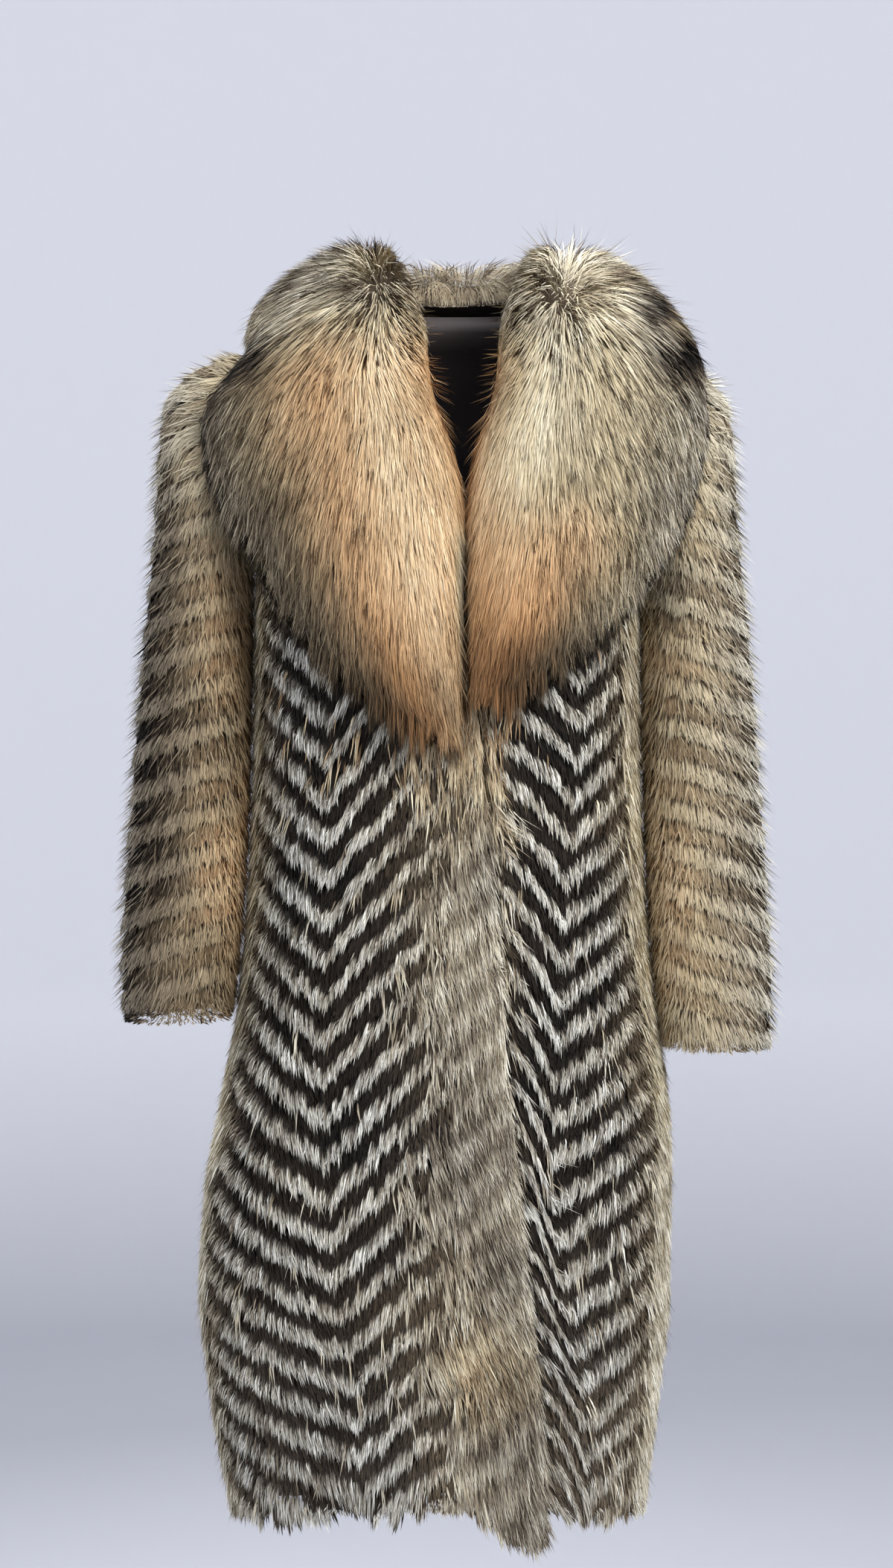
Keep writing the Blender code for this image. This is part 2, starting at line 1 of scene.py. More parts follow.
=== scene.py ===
"""Fur coat: pelts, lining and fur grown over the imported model.

Every cut piece of the coat has a pelt, a thin closed shell with underfur outside and lining inside, and a coat
of fur, one mesh of many tapered strands.  +X is the wearer's left, the front faces -Y and Z is up.
"Drop" is the distance down from the origin, which is the middle of the neck.  Lengths are in metres.
"""

import logging
import math
from dataclasses import dataclass
from enum import Enum, IntEnum
from typing import Callable, Sequence

import bpy
import numpy as np
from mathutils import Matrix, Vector


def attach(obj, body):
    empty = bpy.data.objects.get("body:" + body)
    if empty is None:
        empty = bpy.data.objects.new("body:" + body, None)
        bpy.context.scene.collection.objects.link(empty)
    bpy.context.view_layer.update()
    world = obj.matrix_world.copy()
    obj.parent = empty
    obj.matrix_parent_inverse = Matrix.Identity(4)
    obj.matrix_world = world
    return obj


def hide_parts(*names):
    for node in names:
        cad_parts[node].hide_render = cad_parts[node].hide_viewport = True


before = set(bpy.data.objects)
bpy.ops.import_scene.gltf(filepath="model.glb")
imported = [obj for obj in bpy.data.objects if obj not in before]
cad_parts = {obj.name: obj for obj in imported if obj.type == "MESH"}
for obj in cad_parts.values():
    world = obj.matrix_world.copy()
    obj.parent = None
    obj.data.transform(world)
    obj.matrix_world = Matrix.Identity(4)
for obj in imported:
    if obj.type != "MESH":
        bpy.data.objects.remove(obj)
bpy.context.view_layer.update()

Array = np.ndarray
Value = float | Array
LOG = logging.getLogger("fur_coat")

# ---- The coat's driving sizes, as its solids have them ----
HEM_DROP = 1.178
FRONT_LIFT = 0.026
CORNER_TAIL = 0.028
SHOULDER_DROP = 0.052
UNDERARM_DROP = 0.253
ARM_PLANE = 0.186
SEAM = 0.0003
BODY_WALL = 0.031
SLEEVE_WALL = 0.023
FLAP_WALL = 0.011
FLAP_SPACE = 0.002
CLOSING = (0.180, 0.223)
ROUNDNESS = 2.3
NECK_SHIFT = 0.018
BODY_PITCH = 0.0372
SLEEVE_PITCH = 0.0395
INNER_RISE = 0.145
OUTER_RISE = 0.095
CHEVRON_START = (0.04, 0.42)
RIB_START = 0.17
SLEEVE_TILT = 0.30
LEFT_SLEEVE_EXTRA = 0.026
CAP_LENGTH = 0.055
COLLAR_SEAM = 5.6
LAPEL_TIP = 11.0
TIP_STATION = 8.0
LEFT_LAPEL_REACH = 0.81

BODY_ROWS = (
    # drop, centre, half_width, front, back
    (0.000, 0.012, 0.078, 0.050, 0.062),
    (0.013, 0.008, 0.120, 0.070, 0.082),
    (0.030, 0.004, 0.158, 0.085, 0.100),
    (0.052, 0.000, 0.186, 0.096, 0.116),
    (0.085, 0.000, 0.205, 0.105, 0.131),
    (0.125, 0.000, 0.212, 0.113, 0.143),
    (0.170, 0.000, 0.211, 0.121, 0.151),
    (0.215, 0.000, 0.201, 0.129, 0.155),
    (0.253, 0.000, 0.186, 0.136, 0.156),
    (0.320, 0.000, 0.1865, 0.146, 0.154),
    (0.440, 0.000, 0.1875, 0.154, 0.152),
    (0.540, 0.000, 0.1905, 0.157, 0.154),
    (0.620, 0.000, 0.1955, 0.160, 0.158),
    (0.700, 0.000, 0.2040, 0.163, 0.162),
    (0.785, -0.002, 0.217, 0.166, 0.166),
    (0.870, -0.008, 0.226, 0.168, 0.169),
    (0.970, -0.012, 0.228, 0.169, 0.170),
    (1.060, -0.012, 0.219, 0.166, 0.167),
    (1.120, -0.011, 0.211, 0.162, 0.163),
    (1.178, -0.009, 0.202, 0.157, 0.158),
)
FRONT_ROWS = (
    # drop, upper_edge, under_edge, right_point, left_point
    (0.000, -0.034, 0.060, -0.070, 0.082),
    (0.050, -0.029, 0.056, -0.085, 0.100),
    (0.100, -0.020, 0.050, -0.100, 0.125),
    (0.170, 0.002, 0.037, -0.107, 0.128),
    (0.223, 0.019, 0.021, -0.107, 0.128),
    (0.300, 0.024, -0.014, -0.108, 0.128),
    (0.423, 0.031, -0.014, -0.110, 0.125),
    (0.554, 0.042, -0.003, -0.112, 0.113),
    (0.708, 0.054, 0.009, -0.115, 0.103),
    (0.862, 0.066, 0.021, -0.110, 0.099),
    (1.080, 0.088, 0.043, -0.084, 0.128),
    (1.178, 0.095, 0.050, -0.077, 0.134),
)
SLEEVE_ROWS = (
    # along, outer_x, outer_drop, inner_x, inner_drop, half_depth, centre_y
    (0.000, 0.1863, 0.052, 0.1863, 0.253, 0.072, 0.000),
    (0.030, 0.2320, 0.064, 0.1875, 0.262, 0.078, 0.000),
    (0.060, 0.2620, 0.086, 0.1878, 0.270, 0.081, 0.000),
    (0.095, 0.2780, 0.122, 0.1880, 0.280, 0.081, -0.001),
    (0.140, 0.2830, 0.182, 0.1882, 0.300, 0.079, -0.002),
    (0.190, 0.2870, 0.245, 0.1885, 0.330, 0.077, -0.004),
    (0.260, 0.2940, 0.320, 0.1890, 0.385, 0.075, -0.007),
    (0.360, 0.3030, 0.430, 0.1908, 0.470, 0.073, -0.011),
    (0.470, 0.3110, 0.545, 0.1950, 0.570, 0.071, -0.015),
    (0.570, 0.3165, 0.645, 0.2015, 0.655, 0.069, -0.018),
    (0.630, 0.3150, 0.705, 0.2085, 0.705, 0.065, -0.020),
)
COLLAR_ROWS = (
    # station, inner_x, inner_y, inner_z, mid_x, mid_y, mid_z, outer_x, outer_y, outer_z, thick, crest
    (0.0, 0.000, 0.0625, 0.0010, 0.000, 0.136, -0.050, 0.000, 0.174, -0.200, 0.072, 0.24),
    (1.0, 0.038, 0.0550, 0.0012, 0.080, 0.120, -0.044, 0.112, 0.162, -0.192, 0.070, 0.23),
    (2.0, 0.066, 0.0340, 0.0012, 0.138, 0.088, -0.036, 0.196, 0.112, -0.148, 0.058, 0.20),
    (3.0, 0.079, 0.0000, 0.0010, 0.154, 0.004, -0.014, 0.216, 0.010, -0.045, 0.052, 0.17),
    (4.0, 0.070, -0.0340, 0.0020, 0.150, -0.050, -0.020, 0.236, -0.050, -0.064, 0.052, 0.24),
    (4.5, 0.050, -0.082, -0.010, 0.143, -0.072, -0.032, 0.242, -0.060, -0.074, 0.055, 0.32),
    (5.0, 0.036, -0.098, -0.044, 0.135, -0.086, -0.050, 0.244, -0.066, -0.086, 0.058, 0.40),
    (6.0, 0.030, -0.112, -0.100, 0.135, -0.100, -0.112, 0.246, -0.082, -0.128, 0.058, 0.45),
    (7.0, 0.012, -0.126, -0.169, 0.125, -0.116, -0.180, 0.234, -0.088, -0.200, 0.057, 0.48),
    (8.0, 0.003, -0.138, -0.236, 0.108, -0.130, -0.246, 0.204, -0.092, -0.272, 0.054, 0.50),
    (9.0, 0.003, -0.150, -0.300, 0.083, -0.148, -0.318, 0.160, -0.116, -0.338, 0.049, 0.50),
    (10.0, 0.003, -0.157, -0.372, 0.056, -0.158, -0.386, 0.108, -0.144, -0.394, 0.040, 0.50),
    (11.0, 0.004, -0.161, -0.432, 0.026, -0.162, -0.436, 0.052, -0.160, -0.436, 0.022, 0.50),
)
# The collar sits closer on the wearer's right.  There its outer edge lies further in and higher, its fur is
# thinner and its crest is nearer to the neck.
RIGHT_ROWS = (
    # station, inward, upward, thinner, nearer
    (0.0, 0.000, 0.000, 0.000, 0.00),
    (1.0, 0.000, 0.000, 0.000, 0.00),
    (2.0, 0.000, 0.002, 0.000, 0.00),
    (3.0, 0.020, 0.004, 0.000, 0.03),
    (4.0, 0.045, 0.003, 0.003, 0.07),
    (4.5, 0.046, 0.002, 0.006, 0.08),
    (5.0, 0.040, -0.002, 0.008, 0.08),
    (6.0, 0.015, 0.004, 0.005, 0.04),
    (7.0, 0.011, 0.008, 0.003, 0.00),
    (8.0, 0.013, 0.013, 0.001, 0.00),
    (9.0, 0.008, 0.010, 0.000, 0.00),
    (10.0, 0.006, 0.008, 0.000, 0.00),
    (11.0, 0.016, 0.004, 0.000, 0.00),
)
# The collar's lower outline over the fronts and over the back: distances from the middle, and the drops there.
FRONT_COVER = ((0.000, 0.052, 0.108, 0.160, 0.204, 0.234, 0.246),
               (0.436, 0.436, 0.394, 0.338, 0.272, 0.200, 0.128))
BACK_COVER = ((0.000, 0.112, 0.196, 0.216), (0.200, 0.192, 0.148, 0.045))
# Strips of long hair along the edges of the body's pieces: drops, and the strip's width at each.  The under
# front's strip is measured from the upper front's edge.
UPPER_STRIP = ((0.40, 0.61, 0.90, 1.05, 1.178), (0.036, 0.052, 0.075, 0.085, 0.080))
UPPER_SEAM = ((0.30, 0.70, 1.10), (0.048, 0.050, 0.036))
UNDER_STRIP = ((0.40, 0.55, 0.75, 0.90), (0.012, 0.000, -0.010, -0.014))
UNDER_SEAM = ((0.30, 0.70, 0.95, 1.15), (0.066, 0.070, 0.078, 0.070))
BACK_STRIP = ((0.20, 0.60, 1.10), (0.010, 0.013, 0.020))
BACK_SEAM = 0.030
# Shades of the lapels' hair, from the roll at the neck to the outer edge.
LAPEL_ROWS = (
    # across, right_tone, left_tone, right_warmth, left_warmth
    (0.00, 0.62, 0.64, 0.86, 0.90),
    (0.10, 0.84, 0.82, 0.84, 0.66),
    (0.28, 0.91, 0.89, 0.80, 0.42),
    (0.48, 0.73, 0.76, 0.90, 0.48),
    (0.68, 0.60, 0.73, 0.58, 0.40),
    (0.84, 0.50, 0.78, 0.32, 0.30),
    (0.95, 0.36, 0.68, 0.20, 0.18),
)
LAPEL_ACROSS, RIGHT_TONE, LEFT_TONE, RIGHT_WARMTH, LEFT_WARMTH = np.array(LAPEL_ROWS).T
# Places across a lapel, and the share of its strands there that are short dark dashes.
DASH_SHARES = ((0.30, 0.48, 0.70, 0.90), (0.0, 0.12, 0.34, 0.42))

# ---- Fur ----
PALETTE_MAP = "OFBake"      # the UV map that holds each strand's shade; the export keeps a map of this name
BODY_ROOT = 0.012           # the skin lies this deep under the tips of the fur
SLEEVE_ROOT = 0.0085
COLLAR_ROOT = 0.42          # share of the collar's depth that is pelt
HEM_INSET = 0.013           # the pelts end this far above the tips of the hem
LOCK_WIDTH = 0.0060         # width of a lock of hair on the body and the sleeves
HEM_TUFT = 0.011            # width of a tuft at the hem
COLLAR_LOCK = 0.0058        # size of a lock on the collar
RIM_TUFT = 0.012            # width of a tuft at the collar's rim
RIM_PAST = 0.08             # how far the hair at that rim may reach past the collar's last row
SHADE_SPREAD = 0.006        # how far a strand's two sides lie from its middle in the map of shades
SPARE = 0.003               # every strand may reach this much further past an edge
PROBE = 0.01                # distance over which the spacing of the bands along a strand is measured
GRID_END = 1.001            # a grid is read up to this far short of its number of rows or columns
FLOOR_HEIGHT = -1.95
WAVE_PERIOD = 0.314         # distance between two bands of the wave texture at scale 1


def smooth(low: Value, high: Value, value: Value) -> Value:
    """An even S from 0 at low to 1 at high.

    Args:
        low: Where the S leaves 0.
        high: Where it reaches 1.
        value: Where it is read.

    Returns:
        The S there, as many values as were given.
    """
    t = np.clip((value - low) / (high - low), 0.0, 1.0)
    return t * t * (3 - 2 * t)


def signed_power(value: Value, exponent: float) -> Value:
    """The power of a value's size, with the value's sign."""
    return np.sign(value) * np.abs(value) ** exponent


def unit(vectors: Array) -> Array:
    """The vectors in the last axis, made one long."""
    return vectors / np.maximum(np.linalg.norm(vectors, axis=-1, keepdims=True), 1e-12)


def scrambled(*whole: Array, seed: int = 0) -> Array:
    """Even chances from whole numbers, the same each run.

    Args:
        whole: Arrays of whole numbers that tell the places apart.
        seed: Tells apart several draws at one place.

    Returns:
        One number from 0 to 1 for each place.
    """
    mixed = np.full(np.broadcast(*whole).shape, (seed * 2654435761 + 97) & 0xFFFFFFFF, np.uint64)
    for part, factor in zip(whole, (73856093, 19349663, 83492791)):
        mixed = mixed ^ (np.asarray(part).astype(np.int64).astype(np.uint64) * np.uint64(factor))
        mixed = (mixed ^ (mixed >> np.uint64(15))) * np.uint64(2246822519)
        mixed = mixed ^ (mixed >> np.uint64(13))
    return (mixed & np.uint64(0xFFFFF)).astype(float) / 0xFFFFF


def clouds(points: Array, size: float, seed: int) -> Array:
    """Soft random clouds in space.

    Args:
        points: Places, one in each row.
        size: Distance between two clouds.
        seed: Tells apart several sets of clouds.

    Returns:
        A number from 0 to 1 at each place.
    """
    place = points / size
    cell = np.floor(place).astype(np.int64)
    t = place - cell
    t = t * t * (3 - 2 * t)
    total = np.zeros(len(points))
    for corner in range(8):
        step = np.array([corner & 1, corner >> 1 & 1, corner >> 2 & 1])
        weight = np.prod(np.where(step, t, 1 - t), axis=1)
        x, y, z = (cell + step).T
        total += weight * scrambled(x, y, z, seed=seed)
    return total


class Table:
    """Smooth values between the rows of a table: its first column is the key, the others are named."""

    def __init__(self, names: Sequence[str], rows: Sequence[Sequence[float]]) -> None:
        """Keeps the columns by name, with the slopes of a curve that never overshoots its rows.

        Args:
            names: The columns' names, with the key's first.
            rows: The table's rows, in the order of their keys.
        """
        found = np.array(rows, float)
        self.keys = found[:, 0]
        self.columns = {name: found[:, i] for i, name in enumerate(names)}
        self.slopes = {name: self._slopes(column) for name, column in self.columns.items()}

    def _slopes(self, column: Array) -> Array:
        """Finds the curve's slope at each row of a column.

        Args:
            column: The column's values.

        Returns:
            The slopes, which are 0 where the column turns back.
        """
        steps = np.diff(column) / np.diff(self.keys)
        before, after = steps[:-1], steps[1:]
        level = before * after <= 0
        middle = np.where(level, 0.0, 2 * before * after / np.where(level, 1.0, before + after))
        return np.concatenate((steps[:1], middle, steps[-1:]))

    def read(self, name: str, key: Value) -> Value:
        """Reads a column.

        Args:
            name: The column.
            key: Where it is read, which is held inside the table.

        Returns:
            The column's value at each key.
        """
        key = np.clip(key, self.keys[0], self.keys[-1])
        low = np.clip(np.searchsorted(self.keys, key, side="right") - 1, 0, len(self.keys) - 2)
        span = self.keys[low + 1] - self.keys[low]
        t = (key - self.keys[low]) / span
        column, slopes = self.columns[name], self.slopes[name]
        start, end = slopes[low] * span, slopes[low + 1] * span
        return (column[low] * (1 + 2 * t) * (1 - t) ** 2 + start * t * (1 - t) ** 2
                + column[low + 1] * t * t * (3 - 2 * t) + end * t * t * (t - 1))


BODY = Table(("drop", "centre", "half_width", "front", "back"), BODY_ROWS)
FRONT = Table(("drop", "upper_edge", "under_edge", "right_point", "left_point"), FRONT_ROWS)
SLEEVE = Table(("along", "outer_x", "outer_drop", "inner_x", "inner_drop", "half_depth", "centre_y"),
               SLEEVE_ROWS)
COLLAR = Table(("station", "inner_x", "inner_y", "inner_z", "mid_x", "mid_y", "mid_z",
                "outer_x", "outer_y", "outer_z", "thick", "crest"), COLLAR_ROWS)
RIGHT = Table(("station", "inward", "upward", "thinner", "nearer"), RIGHT_ROWS)


# ---- Skins: the surfaces of a cut piece, as grids ----

class Skin:
    """A cut piece as three grids of points: tips of the fur, roots of the fur, and lining."""

    def __init__(self, outer: Array, root: Array, inner: Array, outward: float, closed: bool = False) -> None:
        """Keeps the grids and works out their slopes.

        Args:
            outer: Points where the fur's tips lie, as rows down the piece of columns across it.
            root: Points where the fur leaves the pelt.
            inner: Points of the lining.
            outward: 1 if across times down points out of the fur, and -1 if it points in.
            closed: True if the last column meets the first.
        """
        self.outer, self.root, self.inner, self.closed = outer, root, inner, closed
        self.rows, self.columns = outer.shape[:2]
        self.outward = outward
        self.across = np.gradient(outer, axis=1)
        self.down = np.gradient(outer, axis=0)
        if closed:
            seam = (outer[:, 1] - outer[:, -2]) / 2
            self.across[:, 0] = self.across[:, -1] = seam
        self.normal = unit(np.cross(self.across, self.down)) * outward
        self.past_across = unit(np.gradient(inner, axis=1)) * np.linalg.norm(self.across, axis=2, keepdims=True)
        self.past_down = unit(np.gradient(inner, axis=0)) * np.linalg.norm(self.down, axis=2, keepdims=True)
        widths = np.linalg.norm(np.diff(outer, axis=1), axis=2)
        self.arc = np.concatenate((np.zeros((self.rows, 1)), np.cumsum(widths, axis=1)), axis=1)

    def read(self, grid: Array, across: Array, down: Array) -> Array:
        """Reads a grid between its points.

        Args:
            grid: One of the skin's grids.
            across: Places across, counted in columns.
            down: Places down, counted in rows.

        Returns:
            The grid's values there; a place past an edge reads the edge.
        """
        across = np.mod(across, self.columns - 1) if self.closed else across
        across = np.clip(across, 0, self.columns - GRID_END)
        down = np.clip(down, 0, self.rows - GRID_END)
        i, j = across.astype(int), down.astype(int)
        s, t = (across - i)[:, None], (down - j)[:, None]
        upper = grid[j, i] * (1 - s) + grid[j, i + 1] * s
        lower = grid[j + 1, i] * (1 - s) + grid[j + 1, i + 1] * s
        return upper * (1 - t) + lower * t

    def point(self, across: Array, down: Array, height: Array) -> Array:
        """Points in the fur; past an edge the skin is carried on straight.

        Args:
            across: Places across, counted in columns.
            down: Places down, counted in rows.
            height: 0 at the roots and 1 at the tips.

        Returns:
            The points, one in each row.
        """
        root, outer = self.read(self.root, across, down), self.read(self.outer, across, down)
        past_down = (down - np.clip(down, 0, self.rows - GRID_END))[:, None]
        place = root + (outer - root) * height[:, None] + self.read(self.past_down, across, down) * past_down
        if self.closed:
            return place
        past_across = (across - np.clip(across, 0, self.columns - GRID_END))[:, None]
        return place + self.read(self.past_across, across, down) * past_across

    def value(self, grid: Array, across: Array, down: Array) -> Array:
        """Reads a grid of plain numbers, as read() does."""
        return self.read(grid[..., None], across, down)[:, 0]

    def steps(self, across: Array, down: Array, direction: Array) -> tuple[Array, Array]:
        """Turns directions in space into steps on the grid.

        Args:
            across: Places across, counted in columns.
            down: Places down, counted in rows.
            direction: Directions along the skin, one in each row.

        Returns:
            Columns and rows that each direction passes for its own length.
        """
        by_a, by_d = self.read(self.across, across, down), self.read(self.down, across, down)
        size_a, size_d, mixed = (by_a ** 2).sum(1), (by_d ** 2).sum(1), (by_a * by_d).sum(1)
        area = np.maximum(size_a * size_d - mixed ** 2, 1e-14)
        on_a, on_d = (direction * by_a).sum(1), (direction * by_d).sum(1)
        return (on_a * size_d - on_d * mixed) / area, (on_d * size_a - on_a * mixed) / area

    def scatter(self, count: int, weight: Array, chance: np.random.Generator) -> tuple[Array, Array]:
        """Places roots evenly over the piece.

        Args:
            count: How many.
            weight: How densely each point of the grid is set, where 1 is usual.
            chance: The random numbers.

        Returns:
            The roots' places across and down, counted in columns and rows.
        """
        size = np.linalg.norm(np.cross(self.across, self.down), axis=2) * weight
        cell = (size[:-1, :-1] + size[1:, :-1] + size[:-1, 1:] + size[1:, 1:]).ravel()
        reach = np.cumsum(cell)
        picked = np.searchsorted(reach, chance.random(count) * reach[-1])
        down, across = np.divmod(picked, self.columns - 1)
        return across + chance.random(count), down + chance.random(count)


# ---- Body ----

def body_angle(drop: Value, x: Value) -> Value:
    """Angle round the body's ring, from the wearer's left side, at which the ring reaches x."""
    ratio = (x - BODY.read("centre", drop)) / BODY.read("half_width", drop)
    return np.arccos(signed_power(np.clip(ratio, -1.0, 1.0), ROUNDNESS / 2))


def side_angle(drop: Value, side: int) -> Value:
    """Angle of the side seam, or of the armhole's edge beside it; side is 1 on the wearer's left."""
    in_armhole = (drop > SHOULDER_DROP) & (drop < UNDERARM_DROP)
    return np.where(in_armhole, body_angle(drop, side * ARM_PLANE), 0.0 if side > 0 else math.pi)


def body_point(drop: Value, angle: Value, depth: str) -> Array:
    """Points at the tips of the body's fur.

    Args:
        drop: Distance below the neck.
        angle: Angle round the ring.
        depth: "front" or "back".

    Returns:
        The points, in the last axis.
    """
    cosine, sine = np.cos(angle), np.sin(angle)
    away = -1 if depth == "front" else 1
    x = BODY.read("centre", drop) + BODY.read("half_width", drop) * signed_power(cosine, 2 / ROUNDNESS)
    y = away * (BODY.read(depth, drop) * np.abs(sine) ** (2 / ROUNDNESS) + SEAM / 2)
    lift = FRONT_LIFT * sine ** 2 * smooth(HEM_DROP - 0.30, HEM_DROP, drop) if depth == "front" else 0.0
    return np.stack(np.broadcast_arrays(x, y, lift - drop), axis=-1)


@dataclass(frozen=True)
class Stop:
    """An edge, chevron point or seam line of a body panel."""

    angle: Callable[[Array], Array]
    rise: float
    columns: int = 0


class Cut(Enum):
    """The pieces of the body."""

    UPPER_FRONT = "front_upper"
    UNDER_FRONT = "front_under"
    BACK = "back"


def under_edge(extra: float) -> Callable[[Array], Array]:
    """Line just past the upper front's edge, or above the closing past the under front's own edge.

    Args:
        extra: How far past it, as X.

    Returns:
        A function that gives the line's angle round the body at each drop.
    """
    def angle(drop: Array) -> Array:
        """The angle at each drop."""
        edge = np.maximum(FRONT.read("upper_edge", drop), FRONT.read("under_edge", drop))
        return body_angle(drop, edge + extra)
    return angle


def back_point(side: int) -> Callable[[Array], Array]:
    """Angle of the back's chevron point on one side."""
    return lambda drop: body_angle(drop, side * 0.5 * BODY.read("half_width", drop))


PANEL_STOPS = {
    Cut.UPPER_FRONT: (
        Stop(lambda drop: body_angle(drop, FRONT.read("upper_edge", drop)), INNER_RISE, 3),
        Stop(lambda drop: body_angle(drop, FRONT.read("right_point", drop)), 0.0, 3),
        Stop(lambda drop: side_angle(drop, -1), OUTER_RISE),
    ),
    Cut.UNDER_FRONT: (
        Stop(lambda drop: body_angle(drop, FRONT.read("under_edge", drop)), INNER_RISE * 0.8, 1),
        Stop(under_edge(0.003), INNER_RISE * 0.5, 1),
        Stop(under_edge(0.014), INNER_RISE * 0.42, 2),
        Stop(lambda drop: body_angle(drop, FRONT.read("left_point", drop)), 0.0, 2),
        Stop(lambda drop: side_angle(drop, 1), OUTER_RISE),
    ),
    Cut.BACK: (
        Stop(lambda drop: side_angle(drop, -1), OUTER_RISE, 3),
        Stop(back_point(-1), 0.0, 3),
        Stop(lambda drop: np.full(np.shape(drop), math.pi / 2), INNER_RISE, 3),
        Stop(back_point(1), 0.0, 3),
        Stop(lambda drop: side_angle(drop, 1), OUTER_RISE),
    ),
}


@dataclass
class Fibres:
    """Strands of fur as they are combed, one in each row of every array."""

    across: Array
    down: Array
    flow: Array         # way it lies, at its root
    pull: Array         # how far its tip is drawn aside
    length: Array
    height: Array       # of its tip: 0 at the roots' depth and 1 at the skin's outer surface
    stiff: Array        # 0 where it follows the skin and 1 where it stays straight
    free: Array         # 0 where it leaves along the skin and 1 where it keeps to its flow, off the skin too
    past: Array         # how far it may reach past the piece's first and last row
    over: Array         # and past its first and last column
    width: Array
    kind: Array


@dataclass
class Grown:
    """Strands laid out: the places of each along its length, and the way out of the fur."""

    points: Array
    across: Array
    down: Array
    normal: Array


def growing(skin: Skin, fur: Fibres) -> Grown:
    """Lays strands out along their flow.

    Args:
        skin: What they grow on.
        fur: The strands.

    Returns:
        The strands, where the second axis of an array has the root, the middle and the tip.
    """
    normal = unit(skin.read(skin.normal, fur.across, fur.down))
    wish = unit(fur.flow)
    flow = unit(wish - normal * (wish * normal).sum(1, keepdims=True))
    way = unit(flow * (1 - fur.free[:, None]) + wish * fur.free[:, None])
    pull = fur.pull - normal * (fur.pull * normal).sum(1, keepdims=True)
    along_a, along_d = skin.steps(fur.across, fur.down, flow)
    pull_a, pull_d = skin.steps(fur.across, fur.down, pull)
    row = np.linalg.norm(skin.read(skin.down, fur.across, fur.down), axis=1)
    column = np.linalg.norm(skin.read(skin.across, fur.across, fur.down), axis=1)
    ahead = np.where(along_d > 0, skin.rows - 1 - fur.down, fur.down) + fur.past / row
    length = np.minimum(fur.length, np.maximum(ahead, 0.0) / np.maximum(np.abs(along_d), 1e-6) + SPARE)
    if not skin.closed:
        aside = np.where(along_a > 0, skin.columns - 1 - fur.across, fur.across) + fur.over / column
        length = np.minimum(length, np.maximum(aside, 0.0) / np.maximum(np.abs(along_a), 1e-6) + SPARE)
    root = skin.read(skin.root, fur.across, fur.down)
    lift = skin.read(skin.outer, fur.across, fur.down) - root
    points, places_a, places_d = [], [], []
    for t in (0.0, 0.5, 1.0):
        go, aside, lifted = t * length, t ** 1.5, fur.height * (1 - (1 - t) ** 1.7)
        places_a.append(fur.across + along_a * go + pull_a * aside)
        places_d.append(fur.down + along_d * go + pull_d * aside)
        straight = root + way * go[:, None] + pull * aside + lift * lifted[:, None]
        share = (fur.stiff * t)[:, None]
        points.append(skin.point(places_a[-1], places_d[-1], lifted) * (1 - share) + straight * share)
    normal = unit(skin.read(skin.normal, places_a[1], places_d[1]))
    return Grown(np.stack(points, 1), np.stack(places_a, 1), np.stack(places_d, 1), normal)


# ---- Finishes ----

def srgb(red: int, green: int, blue: int) -> tuple[float, float, float, float]:
    """Makes a colour linear.

    Args:
        red: Its red as it looks on a screen, 0 to 255.
        green: Its green.
        blue: Its blue.

    Returns:
        The colour with an opacity of 1.
    """
    linear = [(c / 255 / 12.92) if c / 255 <= 0.04045 else ((c / 255 + 0.055) / 1.055) ** 2.4
              for c in (red, green, blue)]
    return (*linear, 1.0)


class Wire:
    """A number that flows between shader nodes, which can be added, multiplied and so on."""

    def __init__(self, finish: "Finish", socket: bpy.types.NodeSocket) -> None:
        """Wraps a node's output."""
        self.finish, self.socket = finish, socket

    def _math(self, operation: str, *values: "Wire | float") -> "Wire":
        """One Math node on these values."""
        return self.finish.add("ShaderNodeMath", {"operation": operation}, dict(enumerate(values)))

    def __add__(self, other: "Wire | float") -> "Wire":
        """The sum."""
        return self._math("ADD", self, other)

    __radd__ = __add__

    def __sub__(self, other: "Wire | float") -> "Wire":
        """The difference."""
        return self._math("SUBTRACT", self, other)

    def __rsub__(self, other: "Wire | float") -> "Wire":
        """The difference from a number."""
        return self._math("SUBTRACT", other, self)

    def __mul__(self, other: "Wire | float") -> "Wire":
        """The product."""
        return self._math("MULTIPLY", self, other)

    __rmul__ = __mul__

    def fraction(self) -> "Wire":
        """What is left over a whole number."""
        return self._math("FRACT", self)

    def held(self) -> "Wire":
        """The value held between 0 and 1."""
        return self.finish.add("ShaderNodeClamp", {}, {"Value": self})


